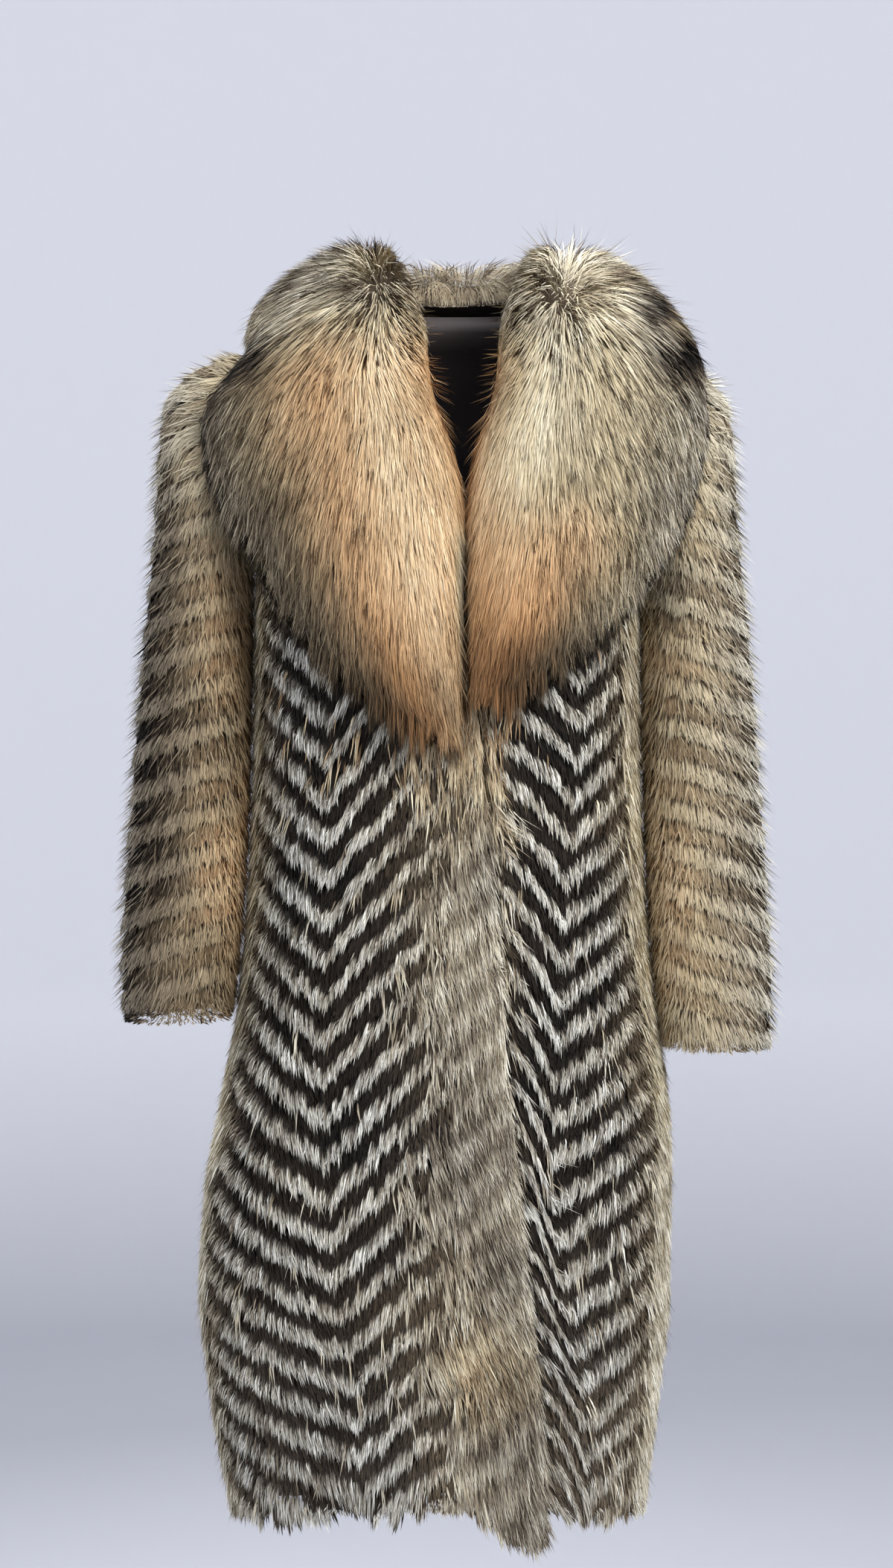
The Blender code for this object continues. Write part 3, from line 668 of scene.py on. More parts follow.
class Finish:
    """A material under construction."""

    def __init__(self, name: str) -> None:
        """Starts a material with one Principled shader.

        Args:
            name: The material's name.
        """
        self.material = bpy.data.materials.new(name)
        self.material.use_nodes = True
        self.tree = self.material.node_tree
        self.shader = self.tree.nodes["Principled BSDF"]

    def add(self, kind: str, settings: dict, values: dict, output: int | str = 0) -> Wire:
        """Adds a node.

        Args:
            kind: The node's type.
            settings: Its settings; "stops" holds a ramp's places and colours.
            values: Values or wires for its inputs, by name or number.
            output: Which output is returned.

        Returns:
            That output.
        """
        node = self.tree.nodes.new(kind)
        for name, value in settings.items():
            if name == "stops":
                ramp = node.color_ramp
                while len(ramp.elements) < len(value):
                    ramp.elements.new(1.0)
                for element, (place, colour) in zip(ramp.elements, value):
                    element.position, element.color = place, colour
            else:
                setattr(node, name, value)
        for name, value in values.items():
            self.feed(node.inputs[name], value)
        return Wire(self, node.outputs[output])

    def feed(self, socket: bpy.types.NodeSocket, value: "Wire | float | Sequence[float]") -> None:
        """Links a wire to an input, or sets the input's value.

        Args:
            socket: The input.
            value: What goes in.
        """
        if isinstance(value, Wire):
            self.tree.links.new(value.socket, socket)
        else:
            socket.default_value = value

    def mixed(self, share: "Wire | float", first: object, second: object) -> Wire:
        """Two colours mixed.

        Args:
            share: How much of the second.
            first: A colour or wire.
            second: A colour or wire.

        Returns:
            The mixed colour.
        """
        node = self.tree.nodes.new("ShaderNodeMix")
        node.data_type = "RGBA"
        self.feed(node.inputs["Factor"], share)
        self.feed(node.inputs[6], first)
        self.feed(node.inputs[7], second)
        return Wire(self, node.outputs[2])

    def dress(self, **values: object) -> bpy.types.Material:
        """Sets the shader's inputs.

        Args:
            values: Values or wires by the input's name, with _ for a space.

        Returns:
            The material.
        """
        for name, value in values.items():
            self.feed(self.shader.inputs[name.replace("_", " ").title()], value)
        return self.material


@dataclass(frozen=True)
class FurFinish:
    """Strands, whose UV map holds their tone, from black to white, and their warmth, from silver to peach."""

    name: str
    roughness: float = 0.70
    gloss: float = 0.20                 # how much smoother the palest hair is
    shine: float = 0.12
    tones: tuple = (0.0, 0.15, 0.35, 0.55, 0.75, 0.90, 1.0)
    silver: tuple = ((12, 11, 10), (38, 34, 31), (84, 77, 69), (137, 131, 120), (186, 184, 174),
                     (224, 223, 214), (247, 247, 241))
    beige: tuple = ((16, 12, 9), (54, 44, 32), (106, 91, 69), (156, 139, 111), (198, 183, 149),
                    (228, 217, 186), (244, 238, 216))
    peach: tuple = ((22, 14, 9), (70, 47, 28), (130, 92, 58), (184, 140, 95), (218, 177, 130),
                    (236, 208, 165), (247, 231, 201))

    def material(self) -> bpy.types.Material:
        """Builds the material.

        Returns:
            The material.
        """
        finish = Finish(self.name)
        place = finish.add("ShaderNodeUVMap", {"uv_map": PALETTE_MAP}, {})
        node = finish.add("ShaderNodeSeparateXYZ", {}, {"Vector": place}).socket.node
        tone, warmth = Wire(finish, node.outputs["X"]), Wire(finish, node.outputs["Y"])
        ramps = [finish.add("ShaderNodeValToRGB",
                            {"stops": [(at, srgb(*colour)) for at, colour in zip(self.tones, colours)]},
                            {"Fac": tone}) for colours in (self.silver, self.beige, self.peach)]
        cool = finish.mixed((warmth * 2.0).held(), ramps[0], ramps[1])
        colour = finish.mixed((warmth * 2.0 - 1.0).held(), cool, ramps[2])
        finish.shader.inputs["Specular IOR Level"].default_value = self.shine
        return finish.dress(base_color=colour, roughness=self.roughness - self.gloss * tone)


@dataclass(frozen=True)
class UnderfurFinish:
    """The dense short underfur on a pelt, banded as the strands are."""

    name: str
    dark: tuple[int, int, int]
    light: tuple[int, int, int]
    depth: float = 0.8                  # painted shade: how much darker it is between its tufts
    clump: float = 420.0                # how closely the tufts stand
    lit: tuple = ((0.00, 0.0), (0.25, 0.1), (0.42, 1.0), (0.74, 1.0), (0.90, 0.0))  # place in a band, light

    def material(self) -> bpy.types.Material:
        """Builds the material, whose attribute "bands" counts bands of fur down the piece.

        Returns:
            The material.
        """
        finish = Finish(self.name)
        bands = finish.add("ShaderNodeAttribute", {"attribute_name": "bands"}, {}, "Fac")
        place = finish.add("ShaderNodeTexCoord", {}, {}, "Object")
        tufts = finish.add("ShaderNodeTexNoise", {}, {"Vector": place, "Scale": self.clump, "Detail": 3.0})
        stops = [(at, (level, level, level, 1.0)) for at, level in self.lit]
        lit = finish.add("ShaderNodeValToRGB", {"stops": stops}, {"Fac": bands.fraction()})
        base = finish.mixed(lit, srgb(*self.dark), srgb(*self.light))
        # Painted shade: the underfur is mixed towards near-black between its tufts.
        colour = finish.mixed(tufts * self.depth, base, srgb(24, 18, 14))
        bump = finish.add("ShaderNodeBump", {}, {"Strength": 0.8, "Distance": 0.002, "Height": tufts})
        return finish.dress(base_color=colour, roughness=0.78 + 0.18 * tufts, normal=bump)


@dataclass(frozen=True)
class LiningFinish:
    """Dark satin lining with a fine weave and faint wrinkles, and a painted sheen on its raised threads and
    folds.
    """

    name: str = "lining_satin"
    colour: tuple[int, int, int] = (44, 38, 38)
    thread: float = 0.0009              # distance between two threads of the weave
    painted_sheen: float = 1.55                 # painted sheen: how much lighter the raised threads are

    def material(self) -> bpy.types.Material:
        """Builds the material.

        Returns:
            The material.
        """
        finish = Finish(self.name)
        place = finish.add("ShaderNodeTexCoord", {}, {}, "Object")
        wefts, warps = [finish.add("ShaderNodeTexWave", {"bands_direction": way},
                                   {"Vector": place, "Scale": WAVE_PERIOD / self.thread}) for way in "ZX"]
        folds = finish.add("ShaderNodeTexNoise", {}, {"Vector": place, "Scale": 14.0, "Detail": 2.0})
        weave = wefts * 0.6 + warps * 0.4
        lighter = tuple(min(255, round(c * self.painted_sheen)) for c in self.colour)
        # Painted sheen: the colour lightens on the raised threads and over the folds.
        colour = finish.mixed((weave * 0.5 + folds * 0.5).held(), srgb(*self.colour), srgb(*lighter))
        fine = finish.add("ShaderNodeBump", {}, {"Strength": 0.25, "Distance": 0.0004, "Height": weave})
        bump = finish.add("ShaderNodeBump", {},
                          {"Strength": 0.5, "Distance": 0.01, "Height": folds, "Normal": fine})
        return finish.dress(base_color=colour, roughness=0.55 + 0.2 * folds, normal=bump)


@dataclass(frozen=True)
class BackdropFinish:
    """Pale studio paper, with painted shade: darker on the floor, lightening up to the wall."""

    name: str = "studio_paper"
    wall: tuple[int, int, int] = (238, 239, 244)
    # The floor's darker colour is painted shade; the paper itself has the wall's colour.
    floor: tuple[int, int, int] = (186, 188, 195)
    rise: float = 0.8                   # height over which the floor's painted shade turns into the wall's colour

    def material(self) -> bpy.types.Material:
        """Builds the material, with a faint grain.

        Returns:
            The material.
        """
        finish = Finish(self.name)
        place = finish.add("ShaderNodeTexCoord", {}, {}, "Object")
        height = finish.add("ShaderNodeSeparateXYZ", {}, {"Vector": place}, "Z")
        grain = finish.add("ShaderNodeTexNoise", {}, {"Vector": place, "Scale": 3.0, "Detail": 2.0})
        share = ((height - FLOOR_HEIGHT) * (1 / self.rise) + grain * 0.04).held()
        # Painted shade: the paper is darker on the floor than on the wall.
        colour = finish.mixed(share, srgb(*self.floor), srgb(*self.wall))
        return finish.dress(base_color=colour, roughness=0.9)


# ---- Meshes ----

def mesh_object(name: str, points: Array, triangles: Array, materials: Sequence[bpy.types.Material],
                slots: Array | None = None) -> bpy.types.Object:
    """A mesh of triangles as an object at the origin.

    Args:
        name: The object's name.
        points: Corners, one in each row.
        triangles: Three corner numbers in each row.
        materials: The mesh's materials.
        slots: Each triangle's material number.

    Returns:
        The object, in the scene.
    """
    mesh = bpy.data.meshes.new(name)
    mesh.vertices.add(len(points))
    mesh.vertices.foreach_set("co", points.astype(np.float32).ravel())
    mesh.loops.add(triangles.size)
    mesh.loops.foreach_set("vertex_index", triangles.astype(np.int32).ravel())
    mesh.polygons.add(len(triangles))
    mesh.polygons.foreach_set("loop_start", np.arange(0, triangles.size, 3, dtype=np.int32))
    mesh.polygons.foreach_set("use_smooth", np.ones(len(triangles), bool))
    for material in materials:
        mesh.materials.append(material)
    if slots is not None:
        mesh.polygons.foreach_set("material_index", slots.astype(np.int32))
    mesh.update(calc_edges=True)
    thing = bpy.data.objects.new(name, mesh)
    bpy.context.scene.collection.objects.link(thing)
    return thing


def strand_mesh(name: str, grown: Grown, width: Array, shade: tuple[Array, Array],
                material: bpy.types.Material, chance: np.random.Generator) -> bpy.types.Object:
    """One mesh of tapered strands.

    Args:
        name: The object's name.
        grown: The strands.
        width: Each strand's width.
        shade: Tone and warmth of each strand at its root, middle and tip.
        material: Their finish.
        chance: The random numbers.

    Returns:
        The object.
    """
    points, normal = grown.points, grown.normal
    count = len(points)
    flow = unit(points[:, -1] - points[:, 0])
    upright = unit(normal - flow * (normal * flow).sum(1, keepdims=True))
    turn = chance.uniform(-1.0, 1.0, count)[:, None]
    face = unit(upright * np.cos(turn) + np.cross(flow, upright) * np.sin(turn))
    half = np.cross(face, flow) * (width / 2)[:, None]
    soft = unit(0.72 * normal + 0.28 * face)
    sides = ((0, 0), (1, -1), (1, 1), (2, 0))      # each corner's place along the strand, and its side
    corners = [points[:, k] + side * half for k, side in sides]
    marks = [np.stack((shade[0][:, k], shade[1][:, k]), 1) + SHADE_SPREAD * side for k, side in sides]
    faces = np.array([(0, 1, 2), (1, 3, 2)])
    triangles = (np.arange(count)[:, None, None] * len(sides) + faces[None]).reshape(-1, 3)
    thing = mesh_object(name, np.stack(corners, 1).reshape(-1, 3), triangles, [material])
    marks = np.stack(marks, 1).reshape(-1, 2).clip(0.002, 0.998)[triangles.ravel()]
    thing.data.uv_layers.new(name=PALETTE_MAP).uv.foreach_set("vector", marks.astype(np.float32).ravel())
    thing.data.normals_split_custom_set_from_vertices(np.repeat(soft, len(sides), axis=0).astype(np.float32))
    return thing


def pelt_mesh(name: str, skin: Skin, bands: Array, span: tuple[slice, slice], step: tuple[int, int],
              materials: Sequence[bpy.types.Material]) -> bpy.types.Object:
    """The pelt of a piece as a closed shell.

    Args:
        name: The object's name.
        skin: The piece's grids.
        bands: Bands of fur counted down the piece, at each point of the grid.
        span: Rows and columns of the grid that the pelt covers.
        step: Rows and columns from one corner of the mesh to the next.
        materials: Underfur and lining.

    Returns:
        The object.
    """
    def picked(grid: Array) -> Array:
        """Picks the points that become corners, with the last row and column kept.

        Args:
            grid: One of the skin's grids.

        Returns:
            The grid's values at those points.
        """
        rows = np.arange(skin.rows)[span[0]]
        columns = np.arange(skin.columns)[span[1]]
        rows = np.unique(np.append(rows[::step[0]], rows[-1]))
        columns = np.unique(np.append(columns[::step[1]], columns[-1]))
        return grid[np.ix_(rows, columns)]

    outer, inner, band = picked(skin.root), picked(skin.inner), picked(bands)
    if skin.closed:
        outer, inner, band = outer[:, :-1], inner[:, :-1], band[:, :-1]
    rows, columns = outer.shape[:2]
    number = np.arange(rows * columns).reshape(rows, columns)
    right = np.roll(number, -1, axis=1) if skin.closed else number[:, 1:]
    left = number if skin.closed else number[:, :-1]
    quads = np.stack((left[:-1], right[:-1], right[1:], left[1:]), -1).reshape(-1, 4)
    if skin.outward < 0:
        quads = quads[:, ::-1]
    edges = np.stack((quads, np.roll(quads, -1, axis=1)), -1).reshape(-1, 2)
    code = edges[:, 0] * len(number.ravel()) + edges[:, 1]
    twin = edges[:, 1] * len(number.ravel()) + edges[:, 0]
    rim = edges[~np.isin(code, twin)]
    under = rows * columns
    sides = np.stack((rim[:, 1], rim[:, 0], rim[:, 0] + under, rim[:, 1] + under), -1)
    every = np.concatenate((quads, quads[:, ::-1] + under, sides))
    slots = np.concatenate((np.zeros(len(quads)), np.ones(len(quads) + len(sides))))
    triangles = every[:, [0, 1, 2, 0, 2, 3]].reshape(-1, 3)
    points = np.concatenate((outer.reshape(-1, 3), inner.reshape(-1, 3)))
    thing = mesh_object(name, points, triangles, materials, np.repeat(slots, 2))
    counted = thing.data.attributes.new("bands", "FLOAT", "POINT")
    counted.data.foreach_set("value", np.tile(band.ravel(), 2).astype(np.float32))
    return thing


# ---- Cut pieces ----

@dataclass(frozen=True)
class Finishes:
    """The coat's materials, by the material slot that each belongs to."""

    fur: dict[str, bpy.types.Material]
    underfur: dict[str, bpy.types.Material]
    lining: bpy.types.Material


@dataclass
class FurPiece:
    """A cut piece of the coat: a lined pelt and the fur on it."""

    node: str
    slot: str
    strands: int
    width: float                        # of a strand, before its kind and chance change it
    flat: tuple[float, float]           # size of the flat piece, across and down
    area: float
    seed: int
    mesh_step: tuple[int, int] = (4, 3)  # rows and columns of the grid between two corners of the pelt

    def skin(self) -> Skin:
        """The piece's surfaces."""
        raise NotImplementedError

    def bands(self, skin: Skin) -> Array:
        """Bands of fur counted down the piece, at each point of its grid."""
        raise NotImplementedError

    def span(self, skin: Skin) -> tuple[slice, slice]:
        """Rows and columns that the pelt covers."""
        raise NotImplementedError

    def comb(self, skin: Skin, chance: np.random.Generator) -> Fibres:
        """Places the strands and sets how each lies."""
        raise NotImplementedError

    def tint(self, skin: Skin, fur: Fibres, grown: Grown, chance: np.random.Generator) -> tuple[Array, Array]:
        """Tone and warmth of each strand at each place along it."""
        raise NotImplementedError

    def locks(self, skin: Skin, across: Array, down: Array) -> tuple[Array, Array, Array, Array]:
        """Sorts places into locks of hair, which are staggered from band to band.

        Args:
            skin: The piece's surfaces.
            across: Places across.
            down: Places down.

        Returns:
            Each place's band, its share of the way down it, the way to the middle of its lock in halves of
            the lock's width, and the lock's own chance from -0.5 to 0.5.
        """
        phase, arc = skin.value(self.bands(skin), across, down), skin.value(skin.arc, across, down)
        band = np.floor(phase)
        shift = scrambled(band, seed=self.seed)
        cell = np.floor(arc / LOCK_WIDTH + shift)
        off = ((cell + 0.5 - shift) * LOCK_WIDTH - arc) / (LOCK_WIDTH / 2)
        return band, phase - band, off, scrambled(cell, band, seed=self.seed + 2) - 0.5

    def reach(self, skin: Skin, roots: tuple[Array, Array], flow: Array, tip: Array, fewest: float) -> Array:
        """Measures how far strands go to the bands where they end.

        Args:
            skin: The piece's surfaces.
            roots: The roots' places across and down.
            flow: The way that each strand lies.
            tip: Where each ends, counted in bands down the piece.
            fewest: The fewest bands a metre that are reckoned with.

        Returns:
            The distances.
        """
        bands = self.bands(skin)
        phase = skin.value(bands, *roots)
        ahead = [place + step * PROBE for place, step in zip(roots, skin.steps(*roots, flow))]
        rate = (skin.value(bands, *ahead) - phase) / PROBE
        return (tip - phase) / np.maximum(rate, fewest)

    def build(self, finishes: Finishes) -> None:
        """Args:
            finishes: The coat's materials.
        """
        chance = np.random.default_rng(self.seed)
        skin = self.skin()
        pelt = pelt_mesh(f"{self.node}_pelt", skin, self.bands(skin), self.span(skin), self.mesh_step,
                         (finishes.underfur[self.slot], finishes.lining))
        fur = self.comb(skin, chance)
        grown = growing(skin, fur)
        hair = strand_mesh(f"{self.node}_hair", grown, fur.width, self.tint(skin, fur, grown, chance),
                           finishes.fur[self.slot], chance)
        for piece in (pelt, hair):
            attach(piece, "root")
        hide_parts(self.node)
        LOG.info("%s: %d strands, %.3f square metres", self.node, len(fur.length), self.area)


class Kind(IntEnum):
    """What a strand is."""

    DARK = 0
    LIGHT = 1
    LONG = 2
    SEAM = 3
    FLECK = 4


@dataclass
class BodyPanel(FurPiece):
    """A front or the back, in chevron bands of dark and light fur with long hair along some edges."""

    cut: Cut = Cut.BACK
    rows: int = 237
    gap: int = 24                       # columns between two stops
    band_start: float = 0.25            # share of a band at which the light fur's roots start
    band_end: float = 0.66
    light_tip: float = 0.91             # bands from a band's start to the tips of its light fur
    dark_tip: float = 1.38              # and to the tips of its dark fur
    leans: tuple = (0.16, 0.34)         # how far hair leans towards a chevron's point, before and past it
    overhang: float = 0.12              # how far the long hair leans out over the closing edge
    strays: float = 0.09                # share of the hairs that stand off
    lift: float = 0.34                  # how far they do at most
    faded: float = 0.42                 # how much the bands fade at the hem
    wander: float = 0.045               # how unevenly the bands end at the long hair
    fade: float = 0.085                 # how far from the long hair the bands start to fade
    shades: tuple = (0.45, 0.92, 1.0)   # tone at the root, middle and tip, as a share of the strand's own

    def places(self) -> tuple[Array, Array]:
        """Counts the grid's columns.

        Returns:
            Each column counted in stops, and counted in the columns of the solid's mesh.
        """
        stops = PANEL_STOPS[self.cut]
        counted = np.linspace(0, len(stops) - 1, (len(stops) - 1) * self.gap + 1)
        before = np.cumsum([0] + [stop.columns for stop in stops[:-1]])
        return counted, np.interp(counted, range(len(stops)), before)

    def skin(self) -> Skin:
        """Works out the piece's surfaces.

        Returns:
            The surfaces.
        """
        stops = PANEL_STOPS[self.cut]
        counted, place = self.places()
        drop = np.linspace(0, HEM_DROP, self.rows)[:, None]
        angles = np.stack([np.broadcast_to(stop.angle(drop[:, 0]), self.rows) for stop in stops], axis=1)
        low = np.minimum(counted.astype(int), len(stops) - 2)
        angle = angles[:, low] * (1 - counted + low) + angles[:, low + 1] * (counted - low)
        outer = body_point(drop, angle, "back" if self.cut is Cut.BACK else "front")
        if self.cut is Cut.UPPER_FRONT:
            outer[..., 2] -= CORNER_TAIL * smooth(1.6, 0.4, place) * smooth(HEM_DROP - 0.10, HEM_DROP, drop)
        outward = -1.0 if self.cut is Cut.UNDER_FRONT else 1.0
        out = unit(np.cross(np.gradient(outer, axis=1), np.gradient(outer, axis=0))) * outward
        middle = -(SHOULDER_DROP + UNDERARM_DROP) / 2
        edge = smooth(place[-1] - 1, place[-1], place)
        if self.cut is Cut.BACK:
            edge = np.maximum(edge, smooth(1.0, 0.0, place))
        edge = edge * smooth(SHOULDER_DROP - 0.01, SHOULDER_DROP + 0.01, drop) * smooth(
            UNDERARM_DROP + 0.01, UNDERARM_DROP - 0.01, drop)
        in_plane = unit(np.stack((np.zeros_like(edge), outer[..., 1], outer[..., 2] - middle), axis=-1))
        out = unit(out * (1 - edge[..., None]) + in_plane * edge[..., None])
        flap = smooth(*CLOSING, drop)
        pressed = smooth(2.0, 1.0, place) * flap * (self.cut is Cut.UNDER_FRONT)
        given = smooth(1.9, 1.0, place) * flap * (self.cut is Cut.UPPER_FRONT)
        loss = (BODY_WALL - FLAP_WALL) * pressed
        root = outer - out * (loss + BODY_ROOT * (1 - 0.7 * pressed))[..., None]
        inner = outer - out * (BODY_WALL - (FLAP_WALL + FLAP_SPACE) * given)[..., None]
        under = smooth(0.006, -0.004, outer[..., 0] - FRONT.read("upper_edge", drop))
        return Skin(outer - out * (loss * under)[..., None], root, inner, outward)

    def base(self) -> Array:
        """Follows the bands from the chevron's point, step by step, because their rise grows down the piece.

        Returns:
            The drop at which each grid point's band would cross the point.
        """
        stops = PANEL_STOPS[self.cut]
        counted, _ = self.places()
        rise = np.interp(counted, range(len(stops)), [stop.rise for stop in stops])
        drop = np.linspace(0, HEM_DROP, self.rows)[:, None]
        base = drop
        for _ in range(12):
            base = drop + rise * smooth(*CHEVRON_START, base)
        return base

    def bands(self, skin: Skin) -> Array:
        """Bands of fur counted down the piece, at each point of its grid."""
        return (self.base() - RIB_START) / BODY_PITCH

    def span(self, skin: Skin) -> tuple[slice, slice]:
        """Finds the part of the grid that the pelt covers, which ends above the hem.

        Args:
            skin: The piece's surfaces.

        Returns:
            Its rows and columns.
        """
        above_hem = round(HEM_INSET / HEM_DROP * self.rows)
        ends = {Cut.UPPER_FRONT: (1, 0), Cut.UNDER_FRONT: (2, 0), Cut.BACK: (0, 0)}[self.cut]
        return slice(0, skin.rows - above_hem), slice(ends[0], skin.columns - ends[1])

    def from_point(self, skin: Skin, across: Array, down: Array) -> Array:
        """Measures across the piece from the nearest chevron point.

        Args:
            skin: The piece's surfaces.
            across: Places across.
            down: Places down.

        Returns:
            The distances, above 0 towards higher columns.
        """
        arc = skin.value(skin.arc, across, down)
        found = None
        for i, stop in enumerate(PANEL_STOPS[self.cut]):
            if stop.rise == 0.0:
                away = arc - skin.value(skin.arc, np.full(len(across), float(i * self.gap)), down)
                found = away if found is None else np.where(np.abs(away) < np.abs(found), away, found)
        return found

    def edges(self, skin: Skin, across: Array, down: Array) -> dict[str, Array]:
        """How far each place lies inside the strips of long hair, as distance less the strip's width.

        Args:
            skin: The piece's surfaces.
            across: Places across.
            down: Places down.

        Returns:
            Distances by the strip's name, below 0 in the strip.
        """
        drop = down / (self.rows - 1) * HEM_DROP
        point = skin.read(skin.outer, across, down)
        arc = skin.value(skin.arc, across, down)
        reach = skin.value(skin.arc, np.full(len(across), skin.columns - GRID_END), down)
        if self.cut is Cut.UPPER_FRONT:
            return {"long": arc - np.interp(drop, *UPPER_STRIP),
                    "seam": reach - arc - np.interp(drop, *UPPER_SEAM)}
        if self.cut is Cut.UNDER_FRONT:
            past = point[:, 0] - FRONT.read("upper_edge", drop)
            return {"long": past - np.interp(drop, *UNDER_STRIP),
                    "seam": reach - arc - np.interp(drop, *UNDER_SEAM)}
        middle = np.abs(arc - skin.value(skin.arc, np.full(len(across), 2.0 * self.gap), down))
        return {"long": middle - np.interp(drop, *BACK_STRIP),
                "seam": np.minimum(arc, reach - arc) - BACK_SEAM}

    def density(self, skin: Skin) -> Array:
        """Sets the fur thinly where another piece hides it, and more densely in the light bands.

        Args:
            skin: The piece's surfaces.

        Returns:
            How densely each point of the grid is set, where 1 is usual.
        """
        drop = np.linspace(0, HEM_DROP, self.rows)[:, None]
        cover = np.interp(np.abs(skin.outer[..., 0]), *(BACK_COVER if self.cut is Cut.BACK else FRONT_COVER))
        weight = np.where(drop < cover - 0.05, 0.22, 1.0)
        if self.cut is Cut.UNDER_FRONT:
            hidden = skin.outer[..., 0] < FRONT.read("upper_edge", drop) - 0.006
            weight = np.where(hidden & (drop > CLOSING[1]), 0.12, weight)
        within = np.mod(self.bands(skin), 1.0)
        return weight * np.where((within > self.band_start) & (within < self.band_end), 1.35, 0.80)

    def comb(self, skin: Skin, chance: np.random.Generator) -> Fibres:
        """Places the strands and sets how each lies.

        Args:
            skin: The piece's surfaces.
            chance: The random numbers.

        Returns:
            The strands.
        """
        across, down = skin.scatter(self.strands, self.density(skin), chance)
        count, drop = len(across), down / (self.rows - 1) * HEM_DROP
        arc, point = skin.value(skin.arc, across, down), skin.read(skin.outer, across, down)
        band, share, off, ragged = self.locks(skin, across, down)
        edge = self.edges(skin, across, down)
        wander = scrambled(band, seed=self.seed + 11) - 0.5 + 0.7 * ragged
        edge["long"] = edge["long"] + self.wander * wander
        nearest = np.minimum(edge["long"], edge["seam"])
        noise = 0.7 * (clouds(point, 0.012, self.seed + 1) - 0.5) + 0.5 * (chance.random(count) - 0.5)
        long_hair = smooth(0.032, -0.040, edge["long"]) + 1.15 * noise > 0.5
        seam_hair = smooth(0.020, -0.024, edge["seam"]) + noise > 0.5

        # The bands' own hair ends at its band, with ragged tips that come to a point in each lock.
        light = (share > self.band_start + 0.28 * ragged) & (share < self.band_end + 0.10 * ragged)
        lower = np.where(share < self.band_start + 0.06, self.dark_tip - 1, self.dark_tip)
        tip = band + np.where(light, self.light_tip, lower) + 0.22 * ragged - 0.14 * off ** 2
        tip = tip + chance.normal(0, 0.10, count)

        away = self.from_point(skin, across, down)
        by_across = unit(skin.read(skin.across, across, down))
        sway = clouds(point, 0.05, self.seed + 3) - 0.5
        amount = np.where(away < 0, *self.leans)
        lean = -np.clip(away / 0.025, -1, 1) * amount * smooth(0.13, 0.05, np.abs(away)) + 0.26 * sway
        lean = np.where(long_hair, 0.45 * sway - self.overhang * smooth(0.0, -0.05, edge["long"]), lean)
        lean = np.where(seam_hair, 0.6 * sway, lean)
        flow = unit(unit(skin.read(skin.down, across, down)) + by_across * lean[:, None])
        length = np.clip(self.reach(skin, (across, down), flow, tip, 12.0), 0.006, 0.026)
        kind = np.where(light, Kind.LIGHT, Kind.DARK)
        kind = np.where(seam_hair, Kind.SEAM, np.where(long_hair, Kind.LONG, kind))
        long = kind >= Kind.LONG
        length = np.where(long, chance.uniform(0.024, 0.044, count), length)
        near = smooth(0.060, -0.020, nearest)
        stray = chance.random(count) < self.strays * smooth(0.024, -0.016, nearest)
        kind = np.where(stray, Kind.FLECK, kind)
        length = np.where(stray, chance.uniform(0.018, 0.036, count), length)
        normal = unit(skin.read(skin.normal, across, down))
        aslant = by_across * chance.normal(0, 0.14, count)[:, None]
        lifted = normal * (self.lift * chance.uniform(0.2, 1.0, count))[:, None]
        flow = np.where(stray[:, None], flow + lifted + aslant, flow)
        height = np.where(light, 1.05 - 0.10 * near, 0.60 + 0.24 * near)
        height = height + chance.normal(0, 0.08, count) - 0.15 * off ** 2
        height = np.where(long, 1.10 + chance.normal(0, 0.14, count), height)
        height = np.where(stray, 1.0, height)
        drawn = off * (LOCK_WIDTH / 2) * 0.35 + chance.normal(0, 0.0014, count)
        drawn = np.where(long, off * (LOCK_WIDTH / 2) * 0.5 + chance.normal(0, 0.003, count), drawn)

        # At the hem the hair hangs in tufts.
        tuft = np.floor(arc / HEM_TUFT)
        aside = np.abs(arc / HEM_TUFT - tuft - 0.5) * 2
        past = chance.uniform(-0.012, 0.002, count) + 0.022 * scrambled(tuft, seed=self.seed + 4)
        past = past - 0.008 * aside
        longer = np.maximum(length, chance.uniform(0.016, 0.040, count))
        length = np.where(drop > HEM_DROP - 0.03, longer, length)
        over = np.where(long, chance.uniform(-0.004, 0.007, count), chance.uniform(0.0, 0.005, count))
        width = self.width * np.where(kind == Kind.DARK, 1.25, np.where(kind == Kind.LIGHT, 0.66, 0.90))
        width = width * chance.uniform(0.7, 1.3, count) * np.where(stray, 0.55, 1.0)
        return Fibres(across, down, flow, by_across * drawn[:, None], length, height,
                      np.where(stray, 0.9, 0.25), np.where(stray, 1.0, 0.0), past, over, width, kind)

